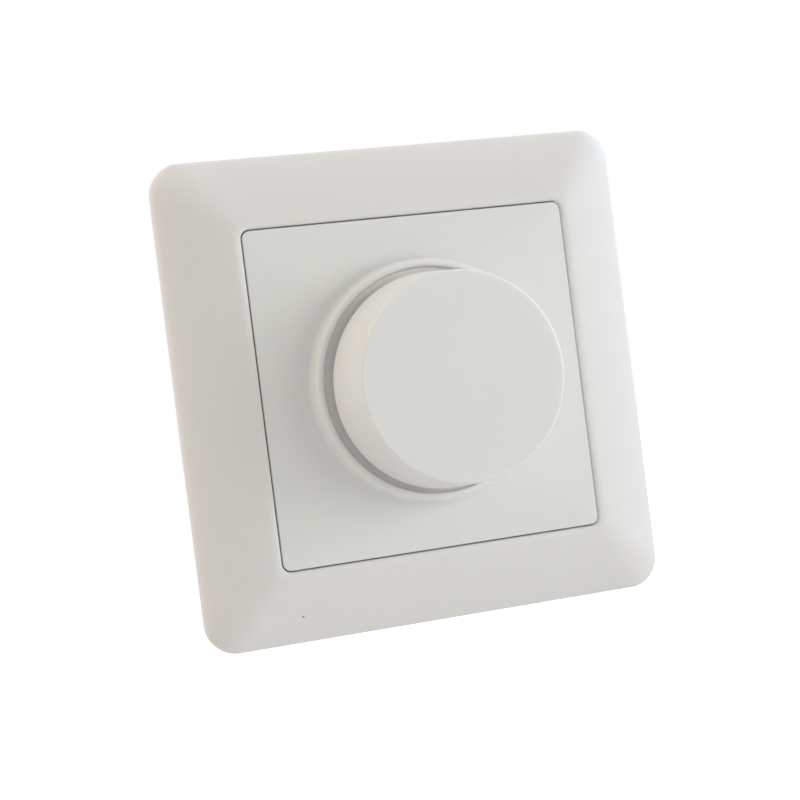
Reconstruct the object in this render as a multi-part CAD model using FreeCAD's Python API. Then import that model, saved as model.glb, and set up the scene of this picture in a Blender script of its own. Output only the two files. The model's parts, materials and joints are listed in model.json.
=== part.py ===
import FreeCAD, Part
import math
import os

from FreeCAD import Rotation, Vector

# Flush-mounted rotary dimmer switch for a round wall box, in millimetres.
# The wall is the plane y = 0: the front looks along -Y, +Z is up and +X is to the right.
# "Height" below always means the distance in front of the wall, so behind it heights are negative.

# Surround frame
FRAME_SIZE = 80.0
FRAME_HEIGHT = 9.05
FRAME_EDGE_HEIGHT = 2.0
FRAME_SHOULDER_DROP = 2.45
FRAME_SHOULDER_SHARE = 0.41
FRAME_LAND_SHARE = 0.08
FRAME_SHOULDER_FULLNESS = 0.32
FRAME_FACE_FULLNESS = 0.4
FRAME_LAND_FULLNESS = 0.08
FRAME_FACE_SWELL = 1.45
FRAME_LIP_R = 0.6
FRAME_EDGE_WALL = 2.6
FRAME_SHOULDER_WALL = 4.4
FRAME_FACE_WALL = 7.2
FRAME_WALL = 2.0
FRAME_LEDGE_DEPTH = 4.05
FRAME_LEDGE_THICK = 1.4
FRAME_LEDGE_WIDTH = 1.7
FRAME_RIB = 1.2

# Centre plate with its round collar
PLATE_SIZE = 54.8
PLATE_GAP = 0.2
PLATE_CORNER_R = 1.3
PLATE_SINK = 0.25
PLATE_WALL = 1.6
PLATE_EDGE_R = 0.2
PLATE_RIB = 1.2
PLATE_RIBS = 8
COLLAR_HEIGHT = 5.75
COLLAR_WIDTH = 1.6
COLLAR_DRAFT = 0.35
COLLAR_INNER_EDGE_R = 0.45
COLLAR_OUTER_EDGE_R = 0.7
COLLAR_FOOT_R = 0.6
DECK_GAP = 0.7
DECK_EDGE_R = 0.4

# Knob
KNOB_RIM_R = 17.45
KNOB_TAPER = 1.0
KNOB_HEIGHT = 13.3
KNOB_LIFT = 1.15
KNOB_COLLAR_GAP = 1.1
KNOB_WALL = 1.6
KNOB_CEILING = 1.8
KNOB_EDGE_R = 0.5
KNOB_RIM_ROUND = 0.25
HUB_R = 5.6
KNOB_RIB = 1.0
KNOB_RIB_HEIGHT = 6.2
KNOB_RIBS = 6

# Push stroke and turning range
PUSH_TRAVEL = 1.8
TURN_RANGE = 270.0
STOP_MARGIN = 2.0

# Shaft, its bushing and the nuts
SHAFT_R = 3.0
SHAFT_ENGAGEMENT = 10.0
SHAFT_FLAT = 1.5
SHAFT_SHOULDER_R = 4.2
SHAFT_SHOULDER_THICK = 1.0
DRIVE_R = 2.6
DRIVE_FLAT = 1.9
BUSHING_R = 5.0
BUSHING_FLANGE_R = 6.5
BUSHING_FLANGE_THICK = 0.8
BUSHING_PROUD = 0.3
NUT_ACROSS_FLATS = 14.0
NUT_BEVEL = 30.0
COVER_NUT_THICK = 2.8
POT_NUT_THICK = 2.0
WASHER_R = 8.5
WASHER_THICK = 0.7
CLIP_THICK = 0.45
CLIP_WIDTH = 4.0
CLIP_LEG = 5.0

# Clearances
RUNNING_GAP = 0.05
SEAT_GAP = 0.02
CLEARANCE = 0.3
END_GAP = 0.6
OVERLAP = 0.4

# Steel mounting strap with slots for the box screws
STRAP_MARGIN = 1.5
STRAP_THICK = 1.0
STRAP_CORNER_CUT = 6.0
BOX_SCREW_SPACING = 60.0
SLOT_WIDTH = 4.0
SLOT_LENGTH = 8.0

# Rear housing and the plate that closes it
HOUSING_DEPTH = 24.0
HOUSING_CORNER_R = 12.0
HOUSING_WALL = 1.6
HOUSING_EDGE_R = 1.2
VENTS = 6
VENT_PITCH = 3.4
VENT_WIDTH = 1.4
VENT_LENGTH = 9.0
VENT_CORNER_R = 0.6
VENT_Z = 13.0
INSERT_COVER_THICK = 1.6
BOSS_R = 2.6
RAIL_WIDTH = 1.6
RAIL_LENGTH = 16.0
SCREW_R = 1.25
SCREW_HEAD_R = 2.4
SCREW_HEAD_THICK = 1.3
SCREW_LENGTH = 8.0
SCREW_CROSS = 2.6
SCREW_SLOT = 0.6

# Potentiometer
POT_R = 11.0
POT_DEPTH = 8.9
POT_WALL = 1.2
TRACK_THICK = 1.0
ROTOR_THICK = 1.2
ROTOR_HUB_R = 4.6
ROTOR_HUB_HEIGHT = 2.5
LUG_WIDTH = 2.0
LUG_REACH = 0.45
WIPER_INSET = 1.8
WIPER_PIN_R = 0.6
WIPER_STEP = 0.9

# Circuit board and what stands on it
BOARD_THICK = 1.6
BOARD_GAP = 0.5
PIECE_GAP = 1.1
BOARD_MARGIN = 1.4
SWITCH_SIZE = 15.0
SWITCH_DEPTH = 9.5
SWITCH_WALL = 1.0
SWITCH_CORNER_R = 1.0
SLIDER_THICK = 2.5
SLIDER_PIN_R = 1.8
SLIDER_PIN_LENGTH = 2.3
BRIDGE_THICK = 0.4
BRIDGE_WIDTH = 3.4
CONTACT_SIZE = 2.2
SPRING_R = 2.9
SPRING_WIRE_R = 0.25
SPRING_WIRE_SIDES = 8
SPRING_TURNS = 4
TRIMMER_MARGIN = 2.5
TRIMMER_Z = 6.0
TRIMMER_SIZE = 7.6
TRIMMER_BODY_HEIGHT = 5.0
TRIMMER_R = 1.9
TRIMMER_BORE_DEPTH = 2.5
TRIMMER_SLOT = 0.6
CHOKE_CORE_R = 2.9
CHOKE_LENGTH = 18.0
CHOKE_WIRE = 1.3
CHOKE_TURNS = 9
CAPACITOR_WIDTH = 18.0
CAPACITOR_DEPTH = 6.0
CAPACITOR_HEIGHT = 8.2
CAPACITOR_CORNER_R = 0.5
TRANSISTOR_WIDTH = 10.0
TRANSISTOR_THICK = 4.4
TRANSISTOR_BODY = 9.2
TRANSISTOR_TAB = 6.3
TRANSISTOR_TAB_THICK = 1.3
TRANSISTOR_LEAD = 0.8
TRANSISTOR_LEAD_DEPTH = 3.1
TRANSISTOR_LEAD_PITCH = 2.54
PAD_THICK = 0.2
RIVET_R = 1.5
RIVET_HEAD_R = 2.8
RIVET_HEAD_THICK = 0.9
SMOOTHING_R = 4.0
SMOOTHING_LENGTH = 9.0
SMOOTHING_Z = 6.0
SMOOTHING_GROOVE = 0.3
SMOOTHING_GROOVE_PLACE = 1.5
REAR_GAP = 2.5
RESISTOR_R = 1.2
RESISTOR_WAIST_R = 0.95
RESISTOR_LENGTH = 6.4
RESISTOR_END = 1.3
RESISTOR_PITCH = 4.0
FUSE_R = 2.5
FUSE_LENGTH = 20.0
FUSE_CAP = 5.0
FUSE_GLASS_WALL = 0.5
CLIP_WALL = 0.5
CLIP_MOUTH = 4.0

# Terminal block with three screw clamps
TERMINALS = 3
TERMINAL_PITCH = 9.0
BLOCK_DEPTH = 10.5
BLOCK_WALL = 1.1
CAGE_WIDTH = 6.2
CAGE_DEPTH = 6.0
CAGE_HEIGHT = 6.2
CAGE_WALL = 1.2
CLAMP_SCREW_R = 1.75
CLAMP_HEAD_R = 2.6
CLAMP_HEAD_THICK = 2.0
CLAMP_SLOT = 0.8
WIRE_HOLE_R = 1.9
DRIVER_HOLE_R = 2.3

# Heights in front of the wall that follow from the sizes above
PLATE_FRONT = FRAME_HEIGHT - PLATE_SINK
LEDGE_TOP = FRAME_HEIGHT - FRAME_LEDGE_DEPTH
COLLAR_TOP = PLATE_FRONT + COLLAR_HEIGHT
COLLAR_INNER_R = KNOB_RIM_R + KNOB_COLLAR_GAP
COLLAR_FOOT_OUTER_R = COLLAR_INNER_R + COLLAR_WIDTH
KNOB_RIM = COLLAR_TOP + KNOB_LIFT
KNOB_FACE = KNOB_RIM + KNOB_HEIGHT
DECK_TOP = KNOB_RIM - PUSH_TRAVEL - DECK_GAP
KNOB_FACE_R = KNOB_RIM_R - KNOB_TAPER
NUT_SEAT = PLATE_FRONT + WASHER_THICK
BUSHING_TOP = NUT_SEAT + COVER_NUT_THICK + BUSHING_PROUD
HUB_BOTTOM = BUSHING_TOP + PUSH_TRAVEL + END_GAP + 2 * CLIP_THICK
SHAFT_TOP = HUB_BOTTOM + SHAFT_ENGAGEMENT
COVER_BACK = -INSERT_COVER_THICK
BOARD_FRONT = COVER_BACK - POT_DEPTH
BOARD_BACK = BOARD_FRONT - BOARD_THICK
HOUSING_FLOOR = -HOUSING_DEPTH + HOUSING_WALL
POT_FRONT_INSIDE = COVER_BACK - POT_WALL
POT_BACK_INSIDE = BOARD_FRONT + POT_WALL
SHOULDER_TOP = POT_FRONT_INSIDE - BUSHING_FLANGE_THICK - RUNNING_GAP
SHOULDER_BOTTOM = SHOULDER_TOP - SHAFT_SHOULDER_THICK
ROTOR_LOW = POT_BACK_INSIDE + RUNNING_GAP
ROTOR_TOP = ROTOR_LOW + ROTOR_HUB_HEIGHT
ROTOR_DISC_TOP = ROTOR_LOW + ROTOR_THICK
TRACK_LOW = ROTOR_DISC_TOP + CLEARANCE
SWITCH_INSIDE_TOP = BOARD_BACK - SWITCH_WALL
SLIDER_TOP = SWITCH_INSIDE_TOP - END_GAP
SLIDER_LOW = SLIDER_TOP - SLIDER_THICK
BRIDGE_LOW = SLIDER_LOW - BRIDGE_THICK
SWITCH_INSIDE_LOW = BOARD_BACK - SWITCH_DEPTH + SWITCH_WALL
SHAFT_END = SLIDER_TOP + RUNNING_GAP

# Sizes and places across that follow from the pieces beside them
FRAME_BORDER = (FRAME_SIZE - PLATE_SIZE) / 2 - PLATE_GAP
FRAME_CORNER_R = FRAME_SHOULDER_SHARE * FRAME_BORDER
FRAME_LAND = FRAME_LAND_SHARE * FRAME_BORDER
STRAP_SIZE = BOX_SCREW_SPACING + SLOT_LENGTH + 2 * STRAP_MARGIN
CHOKE_OUTER_R = CHOKE_CORE_R + CHOKE_WIRE
CHOKE_Z = POT_R + PIECE_GAP + CHOKE_OUTER_R
INSIDE_HALF = CHOKE_Z + CHOKE_OUTER_R + BOARD_MARGIN
HOUSING_SIZE = 2 * (INSIDE_HALF + HOUSING_WALL)
BOSS_SWING = (HOUSING_CORNER_R - HOUSING_WALL - BOSS_R + OVERLAP) / math.sqrt(2)
BOSS_OFFSET = HOUSING_SIZE / 2 - HOUSING_CORNER_R + BOSS_SWING
ROTOR_R = POT_R - POT_WALL - END_GAP
WIPER_R = ROTOR_R - WIPER_INSET
TRACK_INNER_R = ROTOR_HUB_R + END_GAP
TRIMMER_X = -(INSIDE_HALF - TRIMMER_MARGIN - TRIMMER_SIZE / 2)
CAPACITOR_Z = -(POT_R + PIECE_GAP + CAPACITOR_DEPTH / 2)
SMOOTHING_X = -(SWITCH_SIZE / 2 + REAR_GAP + SMOOTHING_R)
RESISTOR_X = SWITCH_SIZE / 2 + REAR_GAP + RESISTOR_LENGTH / 2
FUSE_Z = SWITCH_SIZE / 2 + REAR_GAP + FUSE_R + CLIP_WALL


def point(x, z, height):
    """A point in front of the wall."""
    return Vector(x, -height, z)


def disc(radius, low, high, x=0.0, z=0.0):
    """A round bar square to the wall, between two heights."""
    return Part.makeCylinder(radius, high - low, point(x, z, high), Vector(0, 1, 0))


def tube(outer, inner, low, high, x=0.0, z=0.0):
    """A round tube square to the wall."""
    return disc(outer, low, high, x, z).cut(disc(inner, low - 1, high + 1, x, z))


def block(x_low, x_high, z_low, z_high, low, high):
    """A box given by its limits across, up and in front of the wall."""
    return Part.makeBox(x_high - x_low, high - low, z_high - z_low, point(x_low, z_low, high))


def centred_block(width, tall, low, high, x=0.0, z=0.0):
    """A box centred on x and z."""
    return block(x - width / 2, x + width / 2, z - tall / 2, z + tall / 2, low, high)


def rounded_slab(width, tall, corner, low, high, x=0.0, z=0.0):
    """A box whose four corners, seen from the front, are round."""
    body = centred_block(width, tall, low, high, x, z)
    edges = [e for e in body.Edges if abs(e.tangentAt(e.FirstParameter).y) > 0.99]
    return body.makeFillet(corner, edges)


def turned(points):
    """A solid of revolution about the knob's axis, from (radius, height) points."""
    corners = [point(r, 0, h) for r, h in points]
    face = Part.Face(Part.makePolygon(corners + corners[:1]))
    return face.revolve(Vector(0, 0, 0), Vector(0, 1, 0), 360)


def circles(body, radius, height):
    """The round edges of one radius at one height."""
    found = []
    for edge in body.Edges:
        curve = edge.Curve
        if isinstance(curve, Part.Circle) and abs(curve.Radius - radius) < 1e-3:
            if abs(curve.Center.y + height) < 1e-3:
                found.append(edge)
    return found


def rim_edges(body, height, half):
    """The edges of one height that lie within a square of the given half width."""
    found = []
    for edge in body.Edges:
        box = edge.BoundBox
        level = abs(box.YMin + height) < 1e-4 and abs(box.YMax + height) < 1e-4
        inside = max(abs(box.XMin), box.XMax, abs(box.ZMin), box.ZMax) < half + 1e-3
        if level and inside:
            found.append(edge)
    return found


def hexagon(across_flats, low, high):
    """A hexagonal bar about the knob's axis."""
    radius = across_flats / math.sqrt(3)
    turns = [math.radians(60 * i) for i in range(6)]
    corners = [point(radius * math.cos(turn), radius * math.sin(turn), high) for turn in turns]
    face = Part.Face(Part.makePolygon(corners + corners[:1]))
    return face.extrude(Vector(0, high - low, 0))


def slot(length, width, low, high, x, z, along_x):
    """A slot with round ends, centred on x and z."""
    reach = (length - width) / 2
    step_x = reach if along_x else 0.0
    step_z = 0.0 if along_x else reach
    body = block(x - (step_x or width / 2), x + (step_x or width / 2),
                 z - (step_z or width / 2), z + (step_z or width / 2), low, high)
    for sign in (-1, 1):
        body = body.fuse(disc(width / 2, low, high, x + sign * step_x, z + sign * step_z))
    return body.removeSplitter()


def about_axis(body, degrees):
    """The body turned clockwise, as seen from the front."""
    copy = body.copy()
    copy.rotate(Vector(0, 0, 0), Vector(0, 1, 0), degrees)
    return copy


def joined(bodies):
    """One solid from several that touch or overlap."""
    body = bodies[0]
    for other in bodies[1:]:
        body = body.fuse(other)
    return body.removeSplitter()


def face_land():
    """Where the flat land round the frame's opening begins."""
    return PLATE_SIZE / 2 + PLATE_GAP + FRAME_LAND


def face_slope(half):
    """The slope with which the frame's face leaves the shoulder."""
    width = half - FRAME_CORNER_R - face_land()
    return FRAME_FACE_SWELL * FRAME_SHOULDER_DROP / width


def shoulder_curve(half):
    """The rounded outer shoulder of the frame, from the side wall to the sloping face."""
    start = half - FRAME_CORNER_R
    top = FRAME_HEIGHT - FRAME_SHOULDER_DROP
    lean = FRAME_SHOULDER_FULLNESS * FRAME_CORNER_R
    rise = FRAME_SHOULDER_FULLNESS * (top - FRAME_EDGE_HEIGHT)
    curve = Part.BezierCurve()
    curve.setPoles([
        point(half, 0, FRAME_EDGE_HEIGHT),
        point(half, 0, FRAME_EDGE_HEIGHT + rise),
        point(start + lean, 0, top - face_slope(half) * lean),
        point(start, 0, top),
    ])
    return curve.toShape()


def face_curve(half):
    """The gentle rise of the frame's face, from the shoulder to the flat land at the lip."""
    start = half - FRAME_CORNER_R
    top = FRAME_HEIGHT - FRAME_SHOULDER_DROP
    land = face_land()
    run = FRAME_FACE_FULLNESS * (start - land)
    ease = FRAME_LAND_FULLNESS * (start - land)
    curve = Part.BezierCurve()
    curve.setPoles([
        point(start, 0, top),
        point(start - run, 0, top + face_slope(half) * run),
        point(land + ease, 0, FRAME_HEIGHT),
        point(land, 0, FRAME_HEIGHT),
    ])
    return curve.toShape()


def frame_bar(half):
    """The frame's cross-section, drawn right across the frame and run along Z."""
    land = face_land()
    side = [
        Part.makeLine(point(half, 0, 0), point(half, 0, FRAME_EDGE_HEIGHT)),
        shoulder_curve(half),
        face_curve(half),
    ]
    other = [edge.mirror(Vector(0, 0, 0), Vector(1, 0, 0)) for edge in side]
    top = Part.makeLine(point(-land, 0, FRAME_HEIGHT), point(land, 0, FRAME_HEIGHT))
    base = Part.makeLine(point(-half, 0, 0), point(half, 0, 0))
    wire = Part.Wire(Part.__sortEdges__(side + other + [top, base]))
    bar = Part.Face(wire).extrude(Vector(0, 0, 2 * half))
    bar.translate(Vector(0, 0, -half))
    return bar


def frame_corner(half):
    """A quarter turn of the shoulder, which rounds one outer corner."""
    start = half - FRAME_CORNER_R
    top = FRAME_HEIGHT - FRAME_SHOULDER_DROP
    edges = [
        Part.makeLine(point(start, 0, 0), point(half, 0, 0)),
        Part.makeLine(point(half, 0, 0), point(half, 0, FRAME_EDGE_HEIGHT)),
        shoulder_curve(half),
        Part.makeLine(point(start, 0, top), point(start, 0, 0)),
    ]
    face = Part.Face(Part.Wire(Part.__sortEdges__(edges)))
    face.translate(Vector(0, 0, start))
    return face.revolve(Vector(start, 0, start), Vector(0, 1, 0), -90)


def frame_outside():
    """The frame's outer form: four mitred sides with round corners."""
    half = FRAME_SIZE / 2
    start = half - FRAME_CORNER_R
    bar = frame_bar(half)
    body = bar.common(about_axis(bar, 90))
    corner_cut = block(start, half + 1, start, half + 1, -1, FRAME_HEIGHT + 1)
    corner = frame_corner(half)
    for turn in range(4):
        body = body.cut(about_axis(corner_cut, 90 * turn))
    for turn in range(4):
        body = body.fuse(about_axis(corner, 90 * turn))
    return body.removeSplitter()


def surround_frame():
    """The square surround: a mitred shell with a ledge for the centre plate."""
    half = FRAME_SIZE / 2
    opening = PLATE_SIZE / 2 + PLATE_GAP
    opening_r = PLATE_CORNER_R + PLATE_GAP
    ledge = opening - FRAME_LEDGE_WIDTH
    inner_wall = face_land()
    ledge_low = LEDGE_TOP - FRAME_LEDGE_THICK
    body = frame_outside()
    body = body.cut(rounded_slab(2 * opening, 2 * opening, opening_r, LEDGE_TOP, FRAME_HEIGHT + 1))
    body = body.makeFillet(FRAME_LIP_R, rim_edges(body, FRAME_HEIGHT, opening))
    body = body.cut(rounded_slab(2 * ledge, 2 * ledge, opening_r, -1, FRAME_HEIGHT))
    body = body.cut(rounded_slab(2 * opening, 2 * opening, opening_r, -1, ledge_low))

    # The hollow behind the face is in three steps, so that the wall stays even under the rising face
    deep = FRAME_HEIGHT - FRAME_SHOULDER_DROP - FRAME_WALL
    middle = (FRAME_EDGE_HEIGHT + deep) / 2
    deepest = deep + FRAME_SHOULDER_DROP / 2
    steps = ((FRAME_EDGE_WALL, middle), (FRAME_SHOULDER_WALL, deep), (FRAME_FACE_WALL, deepest))
    for wall, top in steps:
        reach = half - wall
        hollow = rounded_slab(2 * reach, 2 * reach, FRAME_CORNER_R / 2, -1, top)
        hollow = hollow.cut(rounded_slab(2 * inner_wall, 2 * inner_wall, opening_r, -2, top + 1))
        body = body.cut(hollow)

    # Ribs across the hollow carry the outer wall, and rest on the strap with the inner wall
    rib_in = inner_wall - OVERLAP
    rib_out = half - FRAME_EDGE_WALL + OVERLAP / 2
    for offset in (-FRAME_SIZE / 4, FRAME_SIZE / 4):
        rib = block(rib_in, rib_out, offset - FRAME_RIB / 2, offset + FRAME_RIB / 2, STRAP_THICK, middle)
        for turn in range(4):
            body = body.fuse(about_axis(rib, 90 * turn))

    # The strap lies inside the back edge
    strap_room = STRAP_SIZE + 2 * CLEARANCE
    body = body.cut(centred_block(strap_room, strap_room, -1, STRAP_THICK))
    return body.removeSplitter()


def cover_plate():
    """The centre plate: a shallow tray with the collar that the knob dips into."""
    body = rounded_slab(PLATE_SIZE, PLATE_SIZE, PLATE_CORNER_R, LEDGE_TOP, PLATE_FRONT)
    body = body.makeFillet(PLATE_EDGE_R, rim_edges(body, PLATE_FRONT, PLATE_SIZE / 2))
    inside = PLATE_SIZE - 2 * PLATE_WALL
    floor = PLATE_FRONT - PLATE_WALL
    body = body.cut(centred_block(inside, inside, LEDGE_TOP - 1, floor))
    collar = turned([
        (COLLAR_INNER_R, floor + PLATE_WALL / 2),
        (COLLAR_FOOT_OUTER_R, floor + PLATE_WALL / 2),
        (COLLAR_FOOT_OUTER_R, PLATE_FRONT),
        (COLLAR_FOOT_OUTER_R - COLLAR_DRAFT, COLLAR_TOP),
        (COLLAR_INNER_R, COLLAR_TOP),
    ])
    collar = collar.makeFillet(COLLAR_INNER_EDGE_R, circles(collar, COLLAR_INNER_R, COLLAR_TOP))
    outer_top = COLLAR_FOOT_OUTER_R - COLLAR_DRAFT
    collar = collar.makeFillet(COLLAR_OUTER_EDGE_R, circles(collar, outer_top, COLLAR_TOP))
    body = joined([body, collar])
    body = body.makeFillet(COLLAR_FOOT_R, circles(body, COLLAR_FOOT_OUTER_R, PLATE_FRONT))

    # Inside the collar the plate rises to a deck under the knob's rim, round the well for the nut
    ring_r = WASHER_R + 2 * PLATE_RIB
    well_r = ring_r - PLATE_RIB
    body = body.cut(tube(COLLAR_INNER_R, ring_r - PLATE_RIB / 2, LEDGE_TOP, COLLAR_TOP))
    rib_low = LEDGE_TOP + CLEARANCE
    deck = tube(COLLAR_INNER_R + COLLAR_WIDTH / 2, well_r, DECK_TOP - PLATE_WALL, DECK_TOP)
    deck = deck.makeFillet(DECK_EDGE_R, circles(deck, well_r, DECK_TOP))
    well_wall = tube(ring_r, well_r, rib_low, DECK_TOP - PLATE_WALL / 2)

    # The ribs behind the plate run from the well's wall to the plate's edges
    arm = block(ring_r - PLATE_RIB / 2, inside / 2 + PLATE_WALL / 2, -PLATE_RIB / 2, PLATE_RIB / 2,
                rib_low, floor + PLATE_WALL / 2)
    web = block(ring_r - PLATE_RIB / 2, COLLAR_INNER_R + COLLAR_WIDTH / 2, -PLATE_RIB / 2, PLATE_RIB / 2,
                rib_low, DECK_TOP - PLATE_WALL / 2)
    rib = joined([arm, web])
    ribs = [about_axis(rib, 360.0 / PLATE_RIBS * i) for i in range(PLATE_RIBS)]
    body = joined([body, deck, well_wall] + ribs)
    return body.cut(disc(BUSHING_R + CLEARANCE, LEDGE_TOP, COLLAR_TOP))


def knob():
    """The knob: a tapered cap with a ribbed hub that takes the shaft."""
    body = turned([(0, KNOB_RIM), (KNOB_RIM_R, KNOB_RIM), (KNOB_FACE_R, KNOB_FACE), (0, KNOB_FACE)])
    body = body.makeFillet(KNOB_EDGE_R, circles(body, KNOB_FACE_R, KNOB_FACE))
    body = body.makeFillet(KNOB_RIM_ROUND, circles(body, KNOB_RIM_R, KNOB_RIM))
    ceiling = KNOB_FACE - KNOB_CEILING
    into_ceiling = ceiling + KNOB_CEILING / 2
    cavity = turned([
        (0, KNOB_RIM), (KNOB_RIM_R - KNOB_WALL, KNOB_RIM),
        (KNOB_FACE_R - KNOB_WALL, ceiling), (0, ceiling),
    ])
    hub = disc(HUB_R, HUB_BOTTOM, into_ceiling)
    reach = KNOB_FACE_R - KNOB_WALL / 2
    rib = block(HUB_R - OVERLAP, reach, -KNOB_RIB / 2, KNOB_RIB / 2, ceiling - KNOB_RIB_HEIGHT, into_ceiling)
    ribs = [about_axis(rib, 360.0 / KNOB_RIBS * i) for i in range(KNOB_RIBS)]
    body = joined([body.cut(cavity), hub] + ribs)
    bore = disc(SHAFT_R + SEAT_GAP, HUB_BOTTOM - 1, SHAFT_TOP + CLEARANCE)
    seat = SHAFT_FLAT + CLIP_THICK + 2 * SEAT_GAP
    bore = bore.cut(block(-HUB_R, HUB_R, seat, HUB_R, HUB_BOTTOM - 2, SHAFT_TOP + 1))
    return body.cut(bore)


def knob_clip():
    """The leaf spring that grips the flat of the shaft and hooks round the hub."""
    half = CLIP_WIDTH / 2
    inner = SHAFT_FLAT + SEAT_GAP
    outer = HUB_R + SEAT_GAP
    low = HUB_BOTTOM - SEAT_GAP - CLIP_THICK
    inside_leg = block(-half, half, inner, inner + CLIP_THICK, low, SHAFT_TOP - 2 * CLIP_THICK)
    bend = block(-half, half, inner, outer + CLIP_THICK, low, low + CLIP_THICK)
    outside_leg = block(-half, half, outer, outer + CLIP_THICK, low, low + CLIP_LEG)
    return joined([inside_leg, bend, outside_leg])


def control_shaft():
    """The shaft: a flat for the knob, a shoulder inside, two flats that drive the wiper."""
    body = joined([
        disc(SHAFT_R, SHOULDER_BOTTOM, SHAFT_TOP),
        disc(SHAFT_SHOULDER_R, SHOULDER_BOTTOM, SHOULDER_TOP),
    ])
    body = body.makeChamfer(SHAFT_R / 8, circles(body, SHAFT_R, SHAFT_TOP))
    flat_low = HUB_BOTTOM - END_GAP
    body = body.cut(block(-2 * SHAFT_R, 2 * SHAFT_R, SHAFT_FLAT, 2 * SHAFT_R, flat_low, SHAFT_TOP + 1))
    return joined([body, drive_bar(DRIVE_R, DRIVE_FLAT, SHAFT_END, SHOULDER_BOTTOM)])


def drive_bar(radius, flat, low, high):
    """A round bar with a flat on each side."""
    bar = disc(radius, low, high)
    return bar.common(block(-flat, flat, -radius - 1, radius + 1, low, high))


def hex_nut(thick, seat):
    """A plain hexagon nut for the bushing, with its corners turned off."""
    top = seat + thick
    flat_r = NUT_ACROSS_FLATS / 2
    outer = 2 * flat_r
    drop = (outer - flat_r) * math.tan(math.radians(NUT_BEVEL))
    cone = turned([(0, seat - drop), (outer, seat - drop), (outer, top - drop), (flat_r, top), (0, top)])
    nut = hexagon(NUT_ACROSS_FLATS, seat, top).common(cone)
    return nut.cut(disc(BUSHING_R + SEAT_GAP, seat - 1, top + 1))


def cover_nut():
    """The nut that clamps the centre plate and the frame to the strap."""
    return hex_nut(COVER_NUT_THICK, NUT_SEAT)


def cover_washer():
    """The washer under the cover nut."""
    return tube(WASHER_R, BUSHING_R + SEAT_GAP, PLATE_FRONT, NUT_SEAT)


def bushing_nut():
    """The nut that holds the potentiometer to the strap."""
    return hex_nut(POT_NUT_THICK, STRAP_THICK)


def threaded_bushing():
    """The tube that guides the shaft and takes both nuts."""
    flange_low = POT_FRONT_INSIDE - BUSHING_FLANGE_THICK
    body = joined([
        disc(BUSHING_R, POT_FRONT_INSIDE, BUSHING_TOP),
        disc(BUSHING_FLANGE_R, flange_low, POT_FRONT_INSIDE),
    ])
    body = body.makeChamfer(BUSHING_PROUD, circles(body, BUSHING_R, BUSHING_TOP))
    return body.cut(disc(SHAFT_R + RUNNING_GAP, flange_low - 1, BUSHING_TOP + 1))


def housing_corners():
    """The four places where the housing is screwed to the strap."""
    return [(sx * BOSS_OFFSET, sz * BOSS_OFFSET) for sx in (-1, 1) for sz in (-1, 1)]


def mounting_strap():
    """The steel plate that carries everything and is screwed to the wall box."""
    half = STRAP_SIZE / 2
    body = centred_block(STRAP_SIZE, STRAP_SIZE, 0, STRAP_THICK)
    corners = [e for e in body.Edges if abs(e.tangentAt(e.FirstParameter).y) > 0.99]
    body = body.makeChamfer(STRAP_CORNER_CUT, corners)
    body = body.cut(disc(BUSHING_R + CLEARANCE / 2, -1, half))
    reach = BOX_SCREW_SPACING / 2
    for sign in (-1, 1):
        body = body.cut(slot(SLOT_LENGTH, SLOT_WIDTH, -1, STRAP_THICK + 1, sign * reach, 0, True))
        body = body.cut(slot(SLOT_LENGTH, SLOT_WIDTH, -1, STRAP_THICK + 1, 0, sign * reach, False))
    for x, z in housing_corners():
        body = body.cut(disc(SCREW_R + SEAT_GAP, -1, STRAP_THICK + 1, x, z))
    body = body.cut(disc(TRIMMER_R + CLEARANCE, -1, STRAP_THICK + 1, TRIMMER_X, TRIMMER_Z))
    return body.cut(disc(RIVET_R + SEAT_GAP, -1, STRAP_THICK + 1, transistor_x(), rivet_z()))


def transistor_x():
    """The power transistor stands between the potentiometer and the side wall."""
    return INSIDE_HALF - CLEARANCE - TRANSISTOR_WIDTH / 2


def rivet_z():
    """The height of the rivet through the transistor's tab."""
    return TRANSISTOR_TAB / 2


def insert_cover():
    """The plastic plate between the strap and the electronics."""
    body = rounded_slab(HOUSING_SIZE, HOUSING_SIZE, HOUSING_CORNER_R, COVER_BACK, 0)
    body = body.cut(disc(BUSHING_R + CLEARANCE, COVER_BACK - 1, 1))
    for x, z in housing_corners():
        body = body.cut(disc(SCREW_R + SEAT_GAP, COVER_BACK - 1, 1, x, z))
    body = body.cut(disc(TRIMMER_R + CLEARANCE, COVER_BACK - 1, 1, TRIMMER_X, TRIMMER_Z))
    window_low = -TRANSISTOR_BODY - CLEARANCE / 2
    window_high = TRANSISTOR_TAB + CLEARANCE / 2
    half = TRANSISTOR_WIDTH / 2 + CLEARANCE / 2
    x = transistor_x()
    return body.cut(block(x - half, x + half, window_low, window_high, COVER_BACK - 1, 1))


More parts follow.
